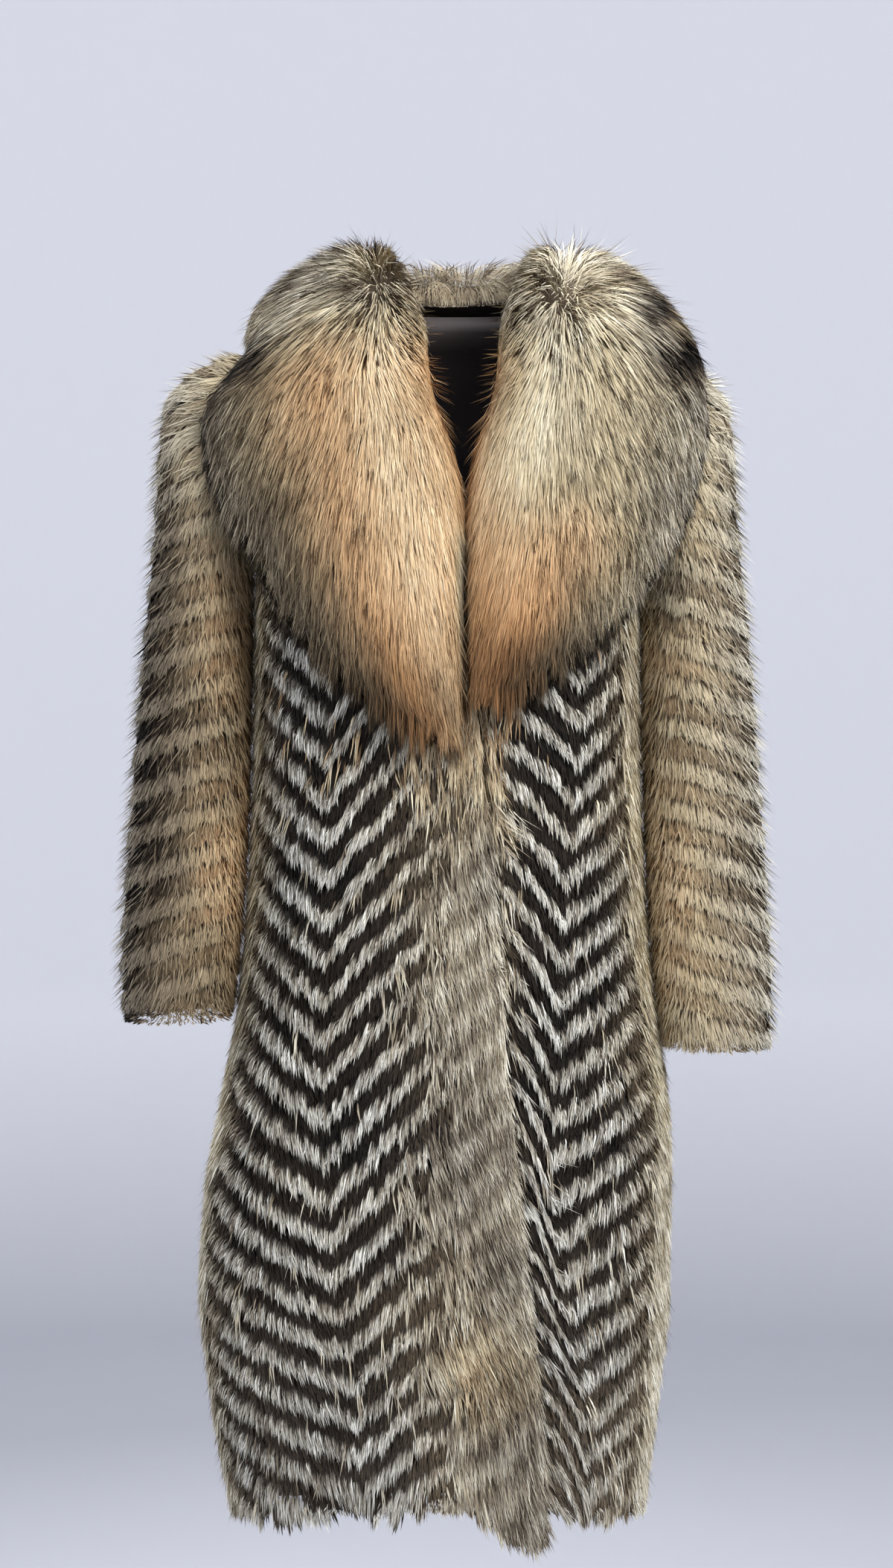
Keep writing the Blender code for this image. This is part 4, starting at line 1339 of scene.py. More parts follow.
    def tint(self, skin: Skin, fur: Fibres, grown: Grown, chance: np.random.Generator) -> tuple[Array, Array]:
        """Gives the strands their shades.

        Args:
            skin: The piece's surfaces.
            fur: The strands as they are combed.
            grown: The strands laid out.
            chance: The random numbers.

        Returns:
            Tone and warmth of each strand at its root, middle and tip.
        """
        count = len(fur.kind)
        drop = fur.down / (self.rows - 1) * HEM_DROP
        point = grown.points[:, 0]
        edge = self.edges(skin, fur.across, fur.down)
        near_long = 0.9 * smooth(self.fade, -0.4 * self.fade, edge["long"])
        near_seam = smooth(0.070, -0.010, edge["seam"])
        near = np.maximum(near_long, near_seam)
        hem = smooth(0.80, 1.15, drop)
        strong = (1 - 0.85 * near) * (1 - self.faded * hem)
        patch = clouds(point, 0.05, self.seed + 5)
        soft = clouds(point, 0.018, self.seed + 6)
        arc = skin.value(skin.arc, fur.across, fur.down)
        phase = skin.value(self.bands(skin), fur.across, fur.down)
        shift = scrambled(np.floor(phase), seed=self.seed)
        place = arc / LOCK_WIDTH + shift
        rim = np.abs(place - np.floor(place) - 0.5) * 2
        lock = scrambled(np.floor(place), np.floor(phase), seed=self.seed + 9) - 0.5
        light = 0.58 + 0.24 * strong + 0.22 * lock - 0.32 * smooth(0.35, 1.0, rim) * strong
        light = light + 0.16 * (soft - 0.5) + 0.06 * hem + chance.normal(0, 0.14, count)
        dark = 0.42 - 0.33 * strong + 0.10 * (patch - 0.5) + 0.06 * (soft - 0.5) + 0.04 * lock
        dark = dark + chance.normal(0, 0.03, count)
        band = skin.value(self.bands(skin), grown.across[:, -1], grown.down[:, -1])
        wave = 0.5 + 0.5 * np.cos((band - 0.55) * 2 * math.pi)
        deep = smooth(0.0, -0.05, edge["long"])
        long = 0.42 + (0.36 - 0.16 * deep) * wave + 0.26 * (patch - 0.5) + 0.22 * lock
        long = long + chance.normal(0, 0.09, count)
        brim = smooth(0.014, 0.0, arc) * (1.0 if self.cut is Cut.UPPER_FRONT else 0.0)
        gold = smooth(0.060, 0.020, np.hypot(point[:, 0] - 0.035, 0.8 * (drop - 1.02))) * (point[:, 1] < 0)
        long = long + 0.14 * brim + 0.05 * gold
        seam = 0.72 + 0.08 * smooth(0.60, 0.90, drop) + 0.16 * wave + 0.24 * (patch - 0.5) + 0.22 * lock
        seam = seam + chance.normal(0, 0.09, count)
        kinds = [fur.kind == k for k in (Kind.DARK, Kind.LIGHT, Kind.LONG, Kind.SEAM, Kind.FLECK)]
        stray = np.where(chance.random(count) < 0.60, 0.62 + 0.12 * near, 0.22)
        tone = np.select(kinds, [dark, light, long, seam, stray])
        tones = np.stack([tone * share for share in self.shades], axis=1)
        pale = chance.random(count) < 0.24
        paler = np.where(fur.kind == Kind.LIGHT, 0.06, 0.0)
        tones[:, -1] += np.where((fur.kind >= Kind.LONG) & pale, 0.24, paler)
        amber = smooth(0.56, 0.40, drop) * (0.0 if self.cut is Cut.BACK else 1.0)
        warm = np.select(kinds, [0.16 + 0.16 * near, 0.06 + 0.26 * near,
                                 0.24 + 0.42 * amber - 0.06 * deep + 0.34 * gold,
                                 0.42 - 0.10 * smooth(0.70, 0.95, drop), 0.20 + 0.14 * near])
        warm = warm + 0.18 * (patch - 0.5) + chance.normal(0, 0.03, count)
        return tones, np.repeat(warm[:, None], 3, axis=1)


@dataclass
class SleevePiece(FurPiece):
    """A sleeve in slanting bands of fur, from its armhole to its open cuff."""

    side: int = 1
    rows: int = 141
    ring: int = 96                      # columns round the sleeve
    band_start: float = 0.20            # share of a band at which the light fur's roots start
    band_end: float = 0.66
    strays: float = 0.09                # share of the hairs that stand off
    trim: float = 0.009                 # how much shorter the fringe of the right cuff is
    shades: tuple = (0.62, 0.94, 1.0)   # tone at the root, middle and tip, as a share of the strand's own

    def skin(self) -> Skin:
        """Works out the piece's surfaces, from the armhole's outline to rings of its own.

        Returns:
            The surfaces.
        """
        length = SLEEVE.keys[-1]
        along = np.linspace(0, length, self.rows)[:, None]
        angle = np.linspace(0, math.tau, self.ring + 1)[None]
        longer = LEFT_SLEEVE_EXTRA * smooth(0.2, length, along) if self.side > 0 else 0.0
        read = {name: SLEEVE.read(name, along) for name in SLEEVE.columns}
        x = (read["outer_x"] + read["inner_x"]) / 2 + (read["outer_x"] - read["inner_x"]) / 2 * np.cos(angle)
        down = (read["outer_drop"] + read["inner_drop"]) / 2 + (
            read["outer_drop"] - read["inner_drop"]) / 2 * np.cos(angle) + longer
        y = read["centre_y"] - read["half_depth"] * np.sin(angle)
        ring = np.stack(np.broadcast_arrays(x, y, -down), axis=-1)
        middle, half = (SHOULDER_DROP + UNDERARM_DROP) / 2, (UNDERARM_DROP - SHOULDER_DROP) / 2
        drop = middle - half * np.cos(angle[0])
        front = body_point(drop, body_angle(drop, ARM_PLANE), "front")
        back = body_point(drop, body_angle(drop, ARM_PLANE), "back")
        hole = np.where((np.sin(angle[0]) > 0)[:, None], front, back)
        hole[:, 0] = ARM_PLANE + SEAM
        share = (1 - (1 - np.minimum(along / CAP_LENGTH, 1.0)) ** 2)[..., None]
        outer = hole[None] * (1 - share) + ring * share
        outer[..., 0] *= self.side
        normal = unit(np.cross(np.gradient(outer, axis=1), np.gradient(outer, axis=0))) * self.side
        seam = unit(np.cross(outer[:, 1] - outer[:, -2], np.gradient(outer, axis=0)[:, 0])) * self.side
        normal[:, 0] = normal[:, -1] = seam
        level = np.zeros(outer.shape[:2])
        in_plane = unit(np.stack((level, outer[..., 1], outer[..., 2] + middle), axis=-1))
        blend = smooth(0.0, 0.03, along)[..., None]
        out = unit(in_plane * (1 - blend) + normal * blend)
        room = 0.5 * (np.abs(outer[..., 0]) - ARM_PLANE - SEAM) / SLEEVE_WALL
        steep = out[..., 0] * self.side > room
        flat = unit(np.stack((np.zeros_like(room), out[..., 1], out[..., 2]), axis=-1)) * np.sqrt(
            np.maximum(1 - room ** 2, 0))[..., None]
        flat[..., 0] = room * self.side
        out = np.where(steep[..., None], flat, out)
        return Skin(outer, outer - out * SLEEVE_ROOT, outer - out * SLEEVE_WALL, self.side, closed=True)

    def bands(self, skin: Skin) -> Array:
        """Counts the bands of fur down the piece, where they slant.

        Args:
            skin: The piece's surfaces.

        Returns:
            The count at each point of the grid.
        """
        drop, x = -skin.outer[..., 2], np.abs(skin.outer[..., 0])
        band = drop - SLEEVE_TILT * smooth(0.06, 0.20, drop) * (x - ARM_PLANE)
        return (band - SHOULDER_DROP) / SLEEVE_PITCH - 0.5

    def span(self, skin: Skin) -> tuple[slice, slice]:
        """Rows and columns that the pelt covers."""
        return slice(0, skin.rows - 3), slice(0, skin.columns)

    def comb(self, skin: Skin, chance: np.random.Generator) -> Fibres:
        """Places the strands and sets how each lies.

        Args:
            skin: The piece's surfaces.
            chance: The random numbers.

        Returns:
            The strands.
        """
        along = np.linspace(0, SLEEVE.keys[-1], self.rows)[:, None]
        inside = np.abs(skin.outer[..., 0]) < SLEEVE.read("inner_x", along) + 0.012
        across, down = skin.scatter(self.strands, np.where(inside, 0.6, 1.0), chance)
        count, along = len(across), down / (self.rows - 1) * SLEEVE.keys[-1]
        point = skin.read(skin.outer, across, down)
        band, share, off, ragged = self.locks(skin, across, down)
        light = (share > self.band_start + 0.12 * ragged) & (share < self.band_end)
        tip = band + np.where(light, 0.90, np.where(share < 0.3, 0.32, 1.32))
        tip = tip + 0.22 * ragged - 0.10 * np.abs(off) + chance.normal(0, 0.06, count)
        outward = np.array([self.side, 0.0, 0.0])
        by_across = unit(skin.read(skin.across, across, down))
        sway = 0.5 * (clouds(point, 0.045, self.seed + 3) - 0.5)
        flow = unit(unit(skin.read(skin.down, across, down)) + outward * 0.18 + by_across * sway[:, None])
        length = np.clip(self.reach(skin, (across, down), flow, tip, 14.0), 0.010, 0.034)
        kind = np.where(light, Kind.LIGHT, Kind.DARK)
        beside = smooth(0.022, 0.004, np.abs(point[:, 0]) - SLEEVE.read("inner_x", along))
        stray = chance.random(count) < self.strays + 0.40 * beside
        kind = np.where(stray, Kind.FLECK, kind)
        length = np.where(stray, chance.uniform(0.020, 0.034, count), length)
        height = np.where(light, 1.12, 0.80) + chance.normal(0, 0.10, count)
        height = np.where(stray, 1.0, height)
        normal = unit(skin.read(skin.normal, across, down))
        flow = np.where(stray[:, None], flow + normal * chance.uniform(0.08, 0.45, count)[:, None]
                        + by_across * chance.normal(0, 0.25, count)[:, None], flow)
        fringe = down > self.rows - 9
        length = np.where(fringe, chance.uniform(0.020, 0.036, count), length)
        drawn = off * (LOCK_WIDTH / 2) * 0.7 + chance.normal(0, 0.002, count)
        past = chance.uniform(-0.012, 0.001, count) + 0.008 * ragged - (self.trim if self.side < 0 else 0.0)
        width = self.width * np.where(light, 1.0, 1.2) * chance.uniform(0.75, 1.25, count)
        return Fibres(across, down, flow, by_across * drawn[:, None], length, height,
                      np.where(stray, 0.9, 0.30), np.where(stray, 1.0, 0.0), past, np.zeros(count),
                      width * np.where(stray, 0.6, 1.0), kind)

    def tint(self, skin: Skin, fur: Fibres, grown: Grown, chance: np.random.Generator) -> tuple[Array, Array]:
        """Gives the strands their shades.

        Args:
            skin: The piece's surfaces; not used.
            fur: The strands as they are combed.
            grown: The strands laid out.
            chance: The random numbers.

        Returns:
            Tone and warmth of each strand at its root, middle and tip.
        """
        count = len(fur.kind)
        along = fur.down / (self.rows - 1) * SLEEVE.keys[-1]
        point = grown.points[:, 0]
        inner, outer = SLEEVE.read("inner_x", along), SLEEVE.read("outer_x", along)
        f = np.clip((np.abs(point[:, 0]) - inner) / (outer - inner), 0, 1)
        patch = clouds(point * np.array([1.0, 1.0, 0.8]), 0.055, self.seed + 5)
        fine = clouds(point, 0.009, self.seed + 6)
        rim = smooth(0.66, 0.98, f)
        cuff = smooth(0.50, 0.60, along)
        golden = smooth(0.78, 0.20, f) * np.clip(0.55 + 1.5 * (patch - 0.42), 0.15, 1.0) * (1 - 0.45 * cuff)
        cap = smooth(0.20, 0.06, along)
        strong = (0.18 + 0.50 * rim + 0.24 * smooth(0.60, 0.35, patch)) * (1 - 0.6 * cap)
        # The golden warmth along the inner side, by the body, is the hair's own; its raised tone there is
        # painted light against the shade beside the body.
        middle = 0.57 + 0.12 * smooth(0.24, 0.02, f) + 0.13 * golden + 0.12 * (patch - 0.5)
        # Painted light: the hair is made lighter towards the top of the sleeve, at its cap.
        middle = middle - 0.03 * rim + 0.10 * cap
        # Painted shade: the sleeve on the wearer's right is made darker, and the left one a little lighter,
        # except at the cap.
        middle = middle - ((0.22 - 0.14 * golden) * (1 - cap) if self.side < 0 else -0.03)
        light = middle + 0.32 * strong + 0.10 * (fine - 0.5) + chance.normal(0, 0.045, count)
        dark = middle - 0.42 * strong + 0.10 * (fine - 0.5) + chance.normal(0, 0.035, count)
        pale = chance.random(count) < 0.84
        stray = np.where(pale, middle + 0.08 + 0.22 * rim, middle - 0.10 - 0.16 * rim)
        tone = np.select([fur.kind == k for k in (Kind.DARK, Kind.LIGHT, Kind.FLECK)], [dark, light, stray])
        warm = 0.26 + 0.20 * smooth(0.24, 0.02, f) + 0.42 * golden + 0.08 * (fine - 0.5)
        warm = warm - 0.14 * rim + 0.04 * cap
        warm = warm + np.where(fur.kind == Kind.DARK, 0.08, 0.0) + chance.normal(0, 0.03, count)
        tones = np.stack([tone * share for share in self.shades], axis=1)
        tones[:, -1] += 0.16 * rim * pale
        return tones, np.repeat(warm[:, None], 3, axis=1)


@dataclass
class CollarPiece(FurPiece):
    """The upper collar or a lapel, in long hair."""

    start: float = -COLLAR_SEAM
    end: float = COLLAR_SEAM
    columns: int = 121
    rows: int = 41
    tufts: float = 5.0                  # locks of hair in one station, along the outer edge
    strays: float = 0.06                # share of the hairs that stand off
    blots: tuple = ((-0.174, -0.049, 0.030), (0.213, -0.050, 0.034), (0.176, -0.004, 0.022))  # x, z, size
    parting: float = 0.02               # x of the line between the wearer's right and left
    whorls: tuple = ((-0.070, 0.0, 0.030), (0.118, 0.0, 0.006))   # where hair turns outwards, right and left
    hearts: tuple = ((-0.066, 0.0, 0.040), (0.122, 0.0, 0.012))   # and the dark spots there
    fleck: tuple = (0.46, 0.30, 0.20)   # tone of a dash at its root, middle and tip
    shade: tuple = (0.14, 0.03, 0.0)    # how much darker every strand is there

    @property
    def is_lapel(self) -> bool:
        """Whether the piece is a lapel and not the upper collar."""
        return self.end - self.start < 2 * COLLAR_SEAM - 1

    def underside(self, station: Array, across: Array) -> Array:
        """Points under the collar.

        Args:
            station: Places round the collar, below 0 on the wearer's right.
            across: 0 at the neck and 1 at the outer edge.

        Returns:
            The points, in the last axis.
        """
        side, key = np.where(station >= 0, 1.0, -1.0), np.abs(station)
        x, y, z = (COLLAR.read(f"inner_{c}", key) * ((1 - across) * (1 - 2 * across))
                   + COLLAR.read(f"mid_{c}", key) * (4 * across * (1 - across))
                   + COLLAR.read(f"outer_{c}", key) * (across * (2 * across - 1)) for c in "xyz")
        closer = np.where(side < 0, across, 0.0)
        x, z = x - RIGHT.read("inward", key) * closer, z + RIGHT.read("upward", key) * closer
        tip = COLLAR.read("inner_z", TIP_STATION)
        z = np.where((side > 0) & (z < tip), tip + (z - tip) * LEFT_LAPEL_REACH, z)
        shift = NECK_SHIFT * (1 - np.minimum(x / 0.24, 1.0)) * smooth(1.0, 4.0, key)
        x = side * np.maximum(x, np.where(key < 1, 0.0, 0.0015)) + shift
        return np.stack((x, y, z), axis=-1)

    def skin(self) -> Skin:
        """Works out the piece's surfaces, with rows evenly spaced over the fur.

        Returns:
            The surfaces.
        """
        station = np.linspace(self.start, self.end, self.columns)[None]
        across = ((1 - np.cos(np.linspace(0, math.pi, 161))) / 2)[:, None]
        under = self.underside(*np.broadcast_arrays(station, across))
        inside = np.clip(across, 0.02, 0.98)
        by_station = self.underside(*np.broadcast_arrays(station + 0.05, inside)) - self.underside(
            *np.broadcast_arrays(station - 0.05, inside))
        by_across = self.underside(*np.broadcast_arrays(station, inside + 0.02)) - self.underside(
            *np.broadcast_arrays(station, inside - 0.02))
        out = unit(np.cross(by_station, by_across))
        crest = COLLAR.read("crest", np.abs(station))
        thick = COLLAR.read("thick", np.abs(station))
        crest = np.where(station < 0, crest - RIGHT.read("nearer", np.abs(station)), crest)
        thick = np.where(station < 0, thick - RIGHT.read("thinner", np.abs(station)), thick)
        depth = thick * np.sin(math.pi * across ** (math.log(0.5) / np.log(crest))).clip(0, None) ** 0.5
        outer = under + out * depth[..., None]
        arc = np.concatenate((np.zeros((1, self.columns)),
                              np.cumsum(np.linalg.norm(np.diff(outer, axis=0), axis=2), axis=0)))

        def evenly(grid: Array) -> Array:
            """Spaces a grid's rows evenly over the fur.

            Args:
                grid: The grid, with its own rows.

            Returns:
                The grid with the skin's rows.
            """
            even = np.empty((self.rows, self.columns, 3))
            for j in range(self.columns):
                at = np.linspace(0, arc[-1, j], self.rows)
                for c in range(3):
                    even[:, j, c] = np.interp(at, arc[:, j], grid[:, j, c])
            return even

        return Skin(evenly(outer), evenly(under + out * (depth * COLLAR_ROOT)[..., None]), evenly(under), 1.0)

    def bands(self, skin: Skin) -> Array:
        """Makes the underfur dark round the neck and at the outer edge, and light on the lapels.

        Args:
            skin: The piece's surfaces.

        Returns:
            The place in a band that has such underfur, at each point of the grid.
        """
        key = np.abs(self.station(np.arange(skin.columns)))[None]
        across = np.linspace(0, 1, skin.rows)[:, None]
        return 0.05 + 0.40 * smooth(COLLAR_SEAM - 0.8, COLLAR_SEAM + 0.4, key) * smooth(0.85, 0.6, across)

    def span(self, skin: Skin) -> tuple[slice, slice]:
        """Rows and columns that the pelt covers."""
        return slice(1, skin.rows - 1), slice(0, skin.columns)

    def station(self, across: Array) -> Array:
        """Station of a place across the grid, counted round the collar."""
        return self.start + (self.end - self.start) * across / (self.columns - 1)

    def comb(self, skin: Skin, chance: np.random.Generator) -> Fibres:
        """Places the strands and sets how each lies.

        Args:
            skin: The piece's surfaces.
            chance: The random numbers.

        Returns:
            The strands.
        """
        across, down = skin.scatter(self.strands, np.ones((skin.rows, skin.columns)), chance)
        count = len(across)
        point = skin.read(skin.outer, across, down)
        station = self.station(across)
        a, key = down / (skin.rows - 1), np.abs(station)
        side = np.where(point[:, :1] < self.parting, -1.0, 1.0)
        front = smooth(0.03, -0.05, point[:, 1])

        # In front the hair falls away from a whorl on each shoulder, and behind it falls straight.
        radial = point - np.where(side < 0, *np.array(self.whorls))
        radial[:, 1] = 0
        down_way = np.array([0.0, 0.0, -1.0])
        hanging = unit(unit(radial) * 0.62 + down_way * 0.95)
        to_rim, met_at = self.to_rim(skin, point, hanging)
        rim = smooth(0.056, 0.016, to_rim) * smooth(3.6, 4.4, key) > chance.random(count)
        rim = rim & (point[:, 1] < 0.04) & ((a > 0.35) | (key > 9.8))
        fore = np.where(rim[:, None], hanging, unit(unit(radial) * 0.80 + down_way * 0.70))
        behind = unit(unit(point * np.array([1.0, 1.0, 0.0])) * 0.8 + down_way * 0.9)
        flow = fore * front[:, None] + behind * (1 - front)[:, None]

        # Round the neck it rolls inwards, and in a whorl it stands every way.
        roll = smooth(0.36, 0.10, a) * smooth(1.6, 2.6, key) * smooth(6.8, 5.4, key)
        inward = np.concatenate((-0.70 * side, np.full((count, 1), -0.30), np.full((count, 1), -0.35)), axis=1)
        flow = flow * (1 - roll)[:, None] + unit(inward) * roll[:, None]
        wave = clouds(point, 0.05, self.seed + 3) - 0.5
        by_across = unit(skin.read(skin.across, across, down))
        flow = unit(flow + by_across * (0.30 * wave)[:, None])
        hub = smooth(0.026, 0.004, np.linalg.norm(radial, axis=1)) * front
        flow = unit(flow + chance.normal(0, 1.0, (count, 3)) * (0.8 * hub)[:, None])
        normal = unit(skin.read(skin.normal, across, down))
        stray = (chance.random(count) < self.strays) & ~rim & (front > 0.3)
        lift = chance.uniform(0.05, 0.30, count) * (0.2 + 0.8 * front)
        flow = np.where(stray[:, None], flow + normal * lift[:, None], flow)

        # Strands are drawn together into locks, and into tufts at the edges.
        tuft = np.floor(station * self.tufts)
        off = (tuft + 0.5) / self.tufts - station
        stride = np.linalg.norm(skin.read(skin.across, across, down), axis=1) * (
            (self.columns - 1) / (self.end - self.start))
        rim_tuft = np.floor(met_at / RIM_TUFT)
        reach = scrambled(rim_tuft, seed=self.seed + 7)
        aside = (rim_tuft + 0.5) * RIM_TUFT - met_at
        lock = (np.floor(point / COLLAR_LOCK) + 0.5) * COLLAR_LOCK - point
        ragged = self.lock(point, 2) - 0.5
        dash = (self.lock(point, 5) < 1.5 * self.dashes(a, key)) & (chance.random(count) < 0.45)
        clump = np.where(dash, 0.85, 0.25 + 0.30 * smooth(0.35, 0.75, a)) * np.where(rim, 0.3, 1.0)
        pull = clump[:, None] * lock + chance.normal(0, 0.0022, (count, 3))
        pull = pull + by_across * (0.80 * rim * aside)[:, None]
        kind = np.where(dash & ~rim, Kind.FLECK, Kind.LIGHT)
        # Dark strands lie low at the rim and reach past it: partly dark fur, partly a painted shadow under the
        # collar's edge.
        kind = np.where(rim & (chance.random(count) < 0.20 + 0.45 * smooth(0.75, 0.95, a)), Kind.DARK, kind)
        length = chance.uniform(0.032, 0.054, count) + 0.014 * ragged
        length = np.where(kind == Kind.FLECK, chance.uniform(0.020, 0.034, count), length)
        length = length * (1 - 0.40 * roll) * (1 - 0.45 * hub)
        low = smooth(8.8, 9.8, key)
        beyond = chance.uniform(-0.012, 0.006, count) + (0.024 + 0.014 * low) * reach - 1.5 * np.abs(aside)
        beyond = beyond + 0.004 * low - 0.014 * smooth(10.2, 10.8, key)
        beyond = np.where(kind == Kind.DARK, chance.uniform(0.002, 0.030, count) - 0.016 * low, beyond)
        length = np.where(rim, np.clip(to_rim + beyond, 0.014, 0.076), length)
        height = 0.80 + 0.34 * chance.random(count) + 0.24 * ragged + 0.40 * roll
        height = height - 0.30 * smooth(0.14, 0.0, a) * smooth(5.4, 6.4, key)
        height = np.where(kind == Kind.FLECK, 1.10 + 0.12 * chance.random(count), height)
        height = np.where(rim, 0.5 + 0.5 * chance.random(count), height)
        height = np.where(kind == Kind.DARK, 0.30 * chance.random(count), height)
        closing = smooth(0.22, 0.06, a) * smooth(5.2, 6.4, key)
        stiff = np.where(rim, 0.85, 0.20 + 0.40 * roll + 0.45 * closing)
        past = chance.uniform(-0.006, 0.004, count)
        past = np.where(a < 0.4, -0.004 + closing * chance.uniform(0.004, 0.014, count), past)
        tufted = 0.020 * scrambled(tuft, seed=self.seed + 12) - 0.7 * np.abs(off) * stride
        past = np.where(roll > 0.2, chance.uniform(-0.004, 0.006, count) + tufted, past)
        past = np.where(rim, RIM_PAST, past)
        stiff = np.where(stray, 0.8, stiff)
        nape = smooth(0.45, 0.15, a) * smooth(2.2, 1.2, key)
        height = height * (1 - 0.35 * nape)
        stiff = stiff * (1 - nape)
        over = np.full(count, 0.06)
        if self.is_lapel:
            ends = 0.030 * scrambled(np.floor(a * 9), seed=self.seed + 8)
            over = np.where(key > 9.6, chance.uniform(-0.008, 0.008, count) + ends, 0.002)
            over = np.where(rim, over + 0.012, over)
        width = self.width * chance.uniform(0.6, 1.35, count) * np.where(stray, 0.65, 1.0)
        free = np.where(rim | stray, 1.0, 0.0)
        return Fibres(across, down, flow, pull, length, height, stiff, free, past, over, width, kind)

    def to_rim(self, skin: Skin, point: Array, flow: Array) -> tuple[Array, Array]:
        """Where each flow meets the collar's outer edge, as it looks from the front.

        Args:
            skin: The piece's surfaces.
            point: Places on the fur, one in each row.
            flow: The way from each of them.

        Returns:
            The distances, 1 metre where the edge isn't met, and the lengths of edge before the meeting places.
        """
        edge = skin.outer[-1]
        if self.is_lapel:
            tip = skin.outer[:, 0] if self.start < 0 else skin.outer[::-1, -1]
            edge = np.concatenate((tip, edge) if self.start < 0 else (edge, tip))
        edge = edge[:, [0, 2]]
        start, side = edge[:-1], np.diff(edge, axis=0)
        nearest, met_at = np.full(len(point), 1.0), np.zeros(len(point))
        before = 0.0
        for (x, z), (by_x, by_z) in zip(start, side):
            off_x, off_z = x - point[:, 0], z - point[:, 2]
            cross = flow[:, 0] * by_z - flow[:, 2] * by_x
            cross = np.where(np.abs(cross) < 1e-9, 1e-9, cross)
            along = (off_x * by_z - off_z * by_x) / cross
            share = (off_x * flow[:, 2] - off_z * flow[:, 0]) / cross
            met = (along > 0) & (share >= 0) & (share <= 1) & (along < nearest)
            nearest = np.where(met, along, nearest)
            met_at = np.where(met, before + share * math.hypot(by_x, by_z), met_at)
            before += math.hypot(by_x, by_z)
        return nearest, met_at

    def dashes(self, a: Array, key: Array) -> Array:
        """Sets where short dark dashes lie.

        Args:
            a: Places across the collar, 0 at the neck and 1 at the outer edge.
            key: Their stations, without a sign.

        Returns:
            The share of the strands there that are dashes.
        """
        lapel = smooth(COLLAR_SEAM - 0.7, COLLAR_SEAM + 0.3, key)
        low = smooth(8.4, 10.4, key)
        share = np.interp(a, *DASH_SHARES) * lapel
        return share + 0.03 * low * lapel + 0.22 * (1 - lapel)

    def lock(self, point: Array, draw: int) -> Array:
        """A number from 0 to 1 that the strands of one lock share."""
        x, y, z = np.floor(point / COLLAR_LOCK).T
        return scrambled(x, y, z, seed=self.seed + draw)

    def tint(self, skin: Skin, fur: Fibres, grown: Grown, chance: np.random.Generator) -> tuple[Array, Array]:
        """Gives the strands their shades.

        Args:
            skin: The piece's surfaces.
            fur: The strands as they are combed.
            grown: The strands laid out.
            chance: The random numbers.

        Returns:
            Tone and warmth of each strand at its root, middle and tip.
        """
        tones, warmths = np.empty(grown.across.shape), np.empty(grown.across.shape)
        count = len(tones)
        root = skin.read(skin.outer, fur.across, fur.down)
        jitter = chance.normal(0, 0.035, count) + 0.10 * (self.lock(root, 6) - 0.5)
        tint = chance.normal(0, 0.03, count)
        left = smooth(0.0, 0.04, root[:, 0])
        whorl = np.where(root[:, :1] < self.parting, *np.array(self.hearts))
        from_whorl = np.linalg.norm((root - whorl) * np.array([1.0, 0.3, 1.0]), axis=1)
        swirl = smooth(0.030, 0.010, from_whorl) * smooth(0.06, 0.0, root[:, 1])
        blot = np.zeros(count)
        for x, z, size in self.blots:
            away = np.hypot(root[:, 0] - x, root[:, 2] - z)
            blot = np.maximum(blot, smooth(1.1 * size, 0.4 * size, away) * smooth(0.10, 0.04, root[:, 1]))
        near_root = fur.down / (skin.rows - 1)
        for k in range(tones.shape[1]):
            a = np.clip(grown.down[:, k] / (skin.rows - 1), 0, 1)
            a = np.where(fur.past == RIM_PAST, near_root + 0.30 * (a - near_root), a)
            key = np.abs(self.station(grown.across[:, k]))
            patch = clouds(grown.points[:, k], 0.040, 91)
            lapel = smooth(COLLAR_SEAM - 0.9, COLLAR_SEAM + 0.4, key)
            low = smooth(8.8, 10.6, key)
            base = np.interp(a, LAPEL_ACROSS, RIGHT_TONE) * (1 - left)
            base = base + np.interp(a, LAPEL_ACROSS, LEFT_TONE) * left
            base = base - (0.28 + 0.04 * left) * low - 0.05 * left * smooth(7.6, 8.4, key)
            base = base - 0.06 * smooth(7.2, 8.8, key) + 0.16 * (patch - 0.5)
            base = base - 0.12 * smooth(7.4, 6.2, key) * smooth(0.25, 0.05, a)
            grey = (1 - left) * smooth(0.12, 0.03, a) * smooth(7.8, 8.6, key) * smooth(10.6, 10.0, key)
            base = base - 0.10 * grey
            glow = np.interp(a, LAPEL_ACROSS, RIGHT_WARMTH) * (1 - left)
            glow = glow + np.interp(a, LAPEL_ACROSS, LEFT_WARMTH) * left
            glow = glow + (1.0 - glow) * left * smooth(6.6, 9.6, key) * smooth(0.80, 0.35, a)
            glow = glow - 0.25 * (1 - left) * low * smooth(0.5, 0.0, a)
            glow = (glow + 0.18 * (patch - 0.5)) * (1 - 0.8 * grey)
            streak = smooth(0.60, 0.75, clouds(grown.points[:, k] * np.array([1.0, 1.0, 0.7]), 0.045, 57))
            upper = 0.83 + 0.05 * left - 0.06 * (1 - left) + 0.24 * (patch - 0.5)
            upper = upper - 0.45 * streak * smooth(0.30, 0.55, a) - 0.22 * smooth(0.3, 0.1, a)
            tones[:, k] = base * lapel + upper * (1 - lapel) - 0.40 * swirl - 0.55 * blot + jitter
            warmths[:, k] = glow * lapel + (0.34 + 0.3 * (patch - 0.5)) * (1 - lapel) - 0.2 * blot + tint
            tones[:, k] = np.where(fur.kind == Kind.FLECK, self.fleck[k] + jitter, tones[:, k])
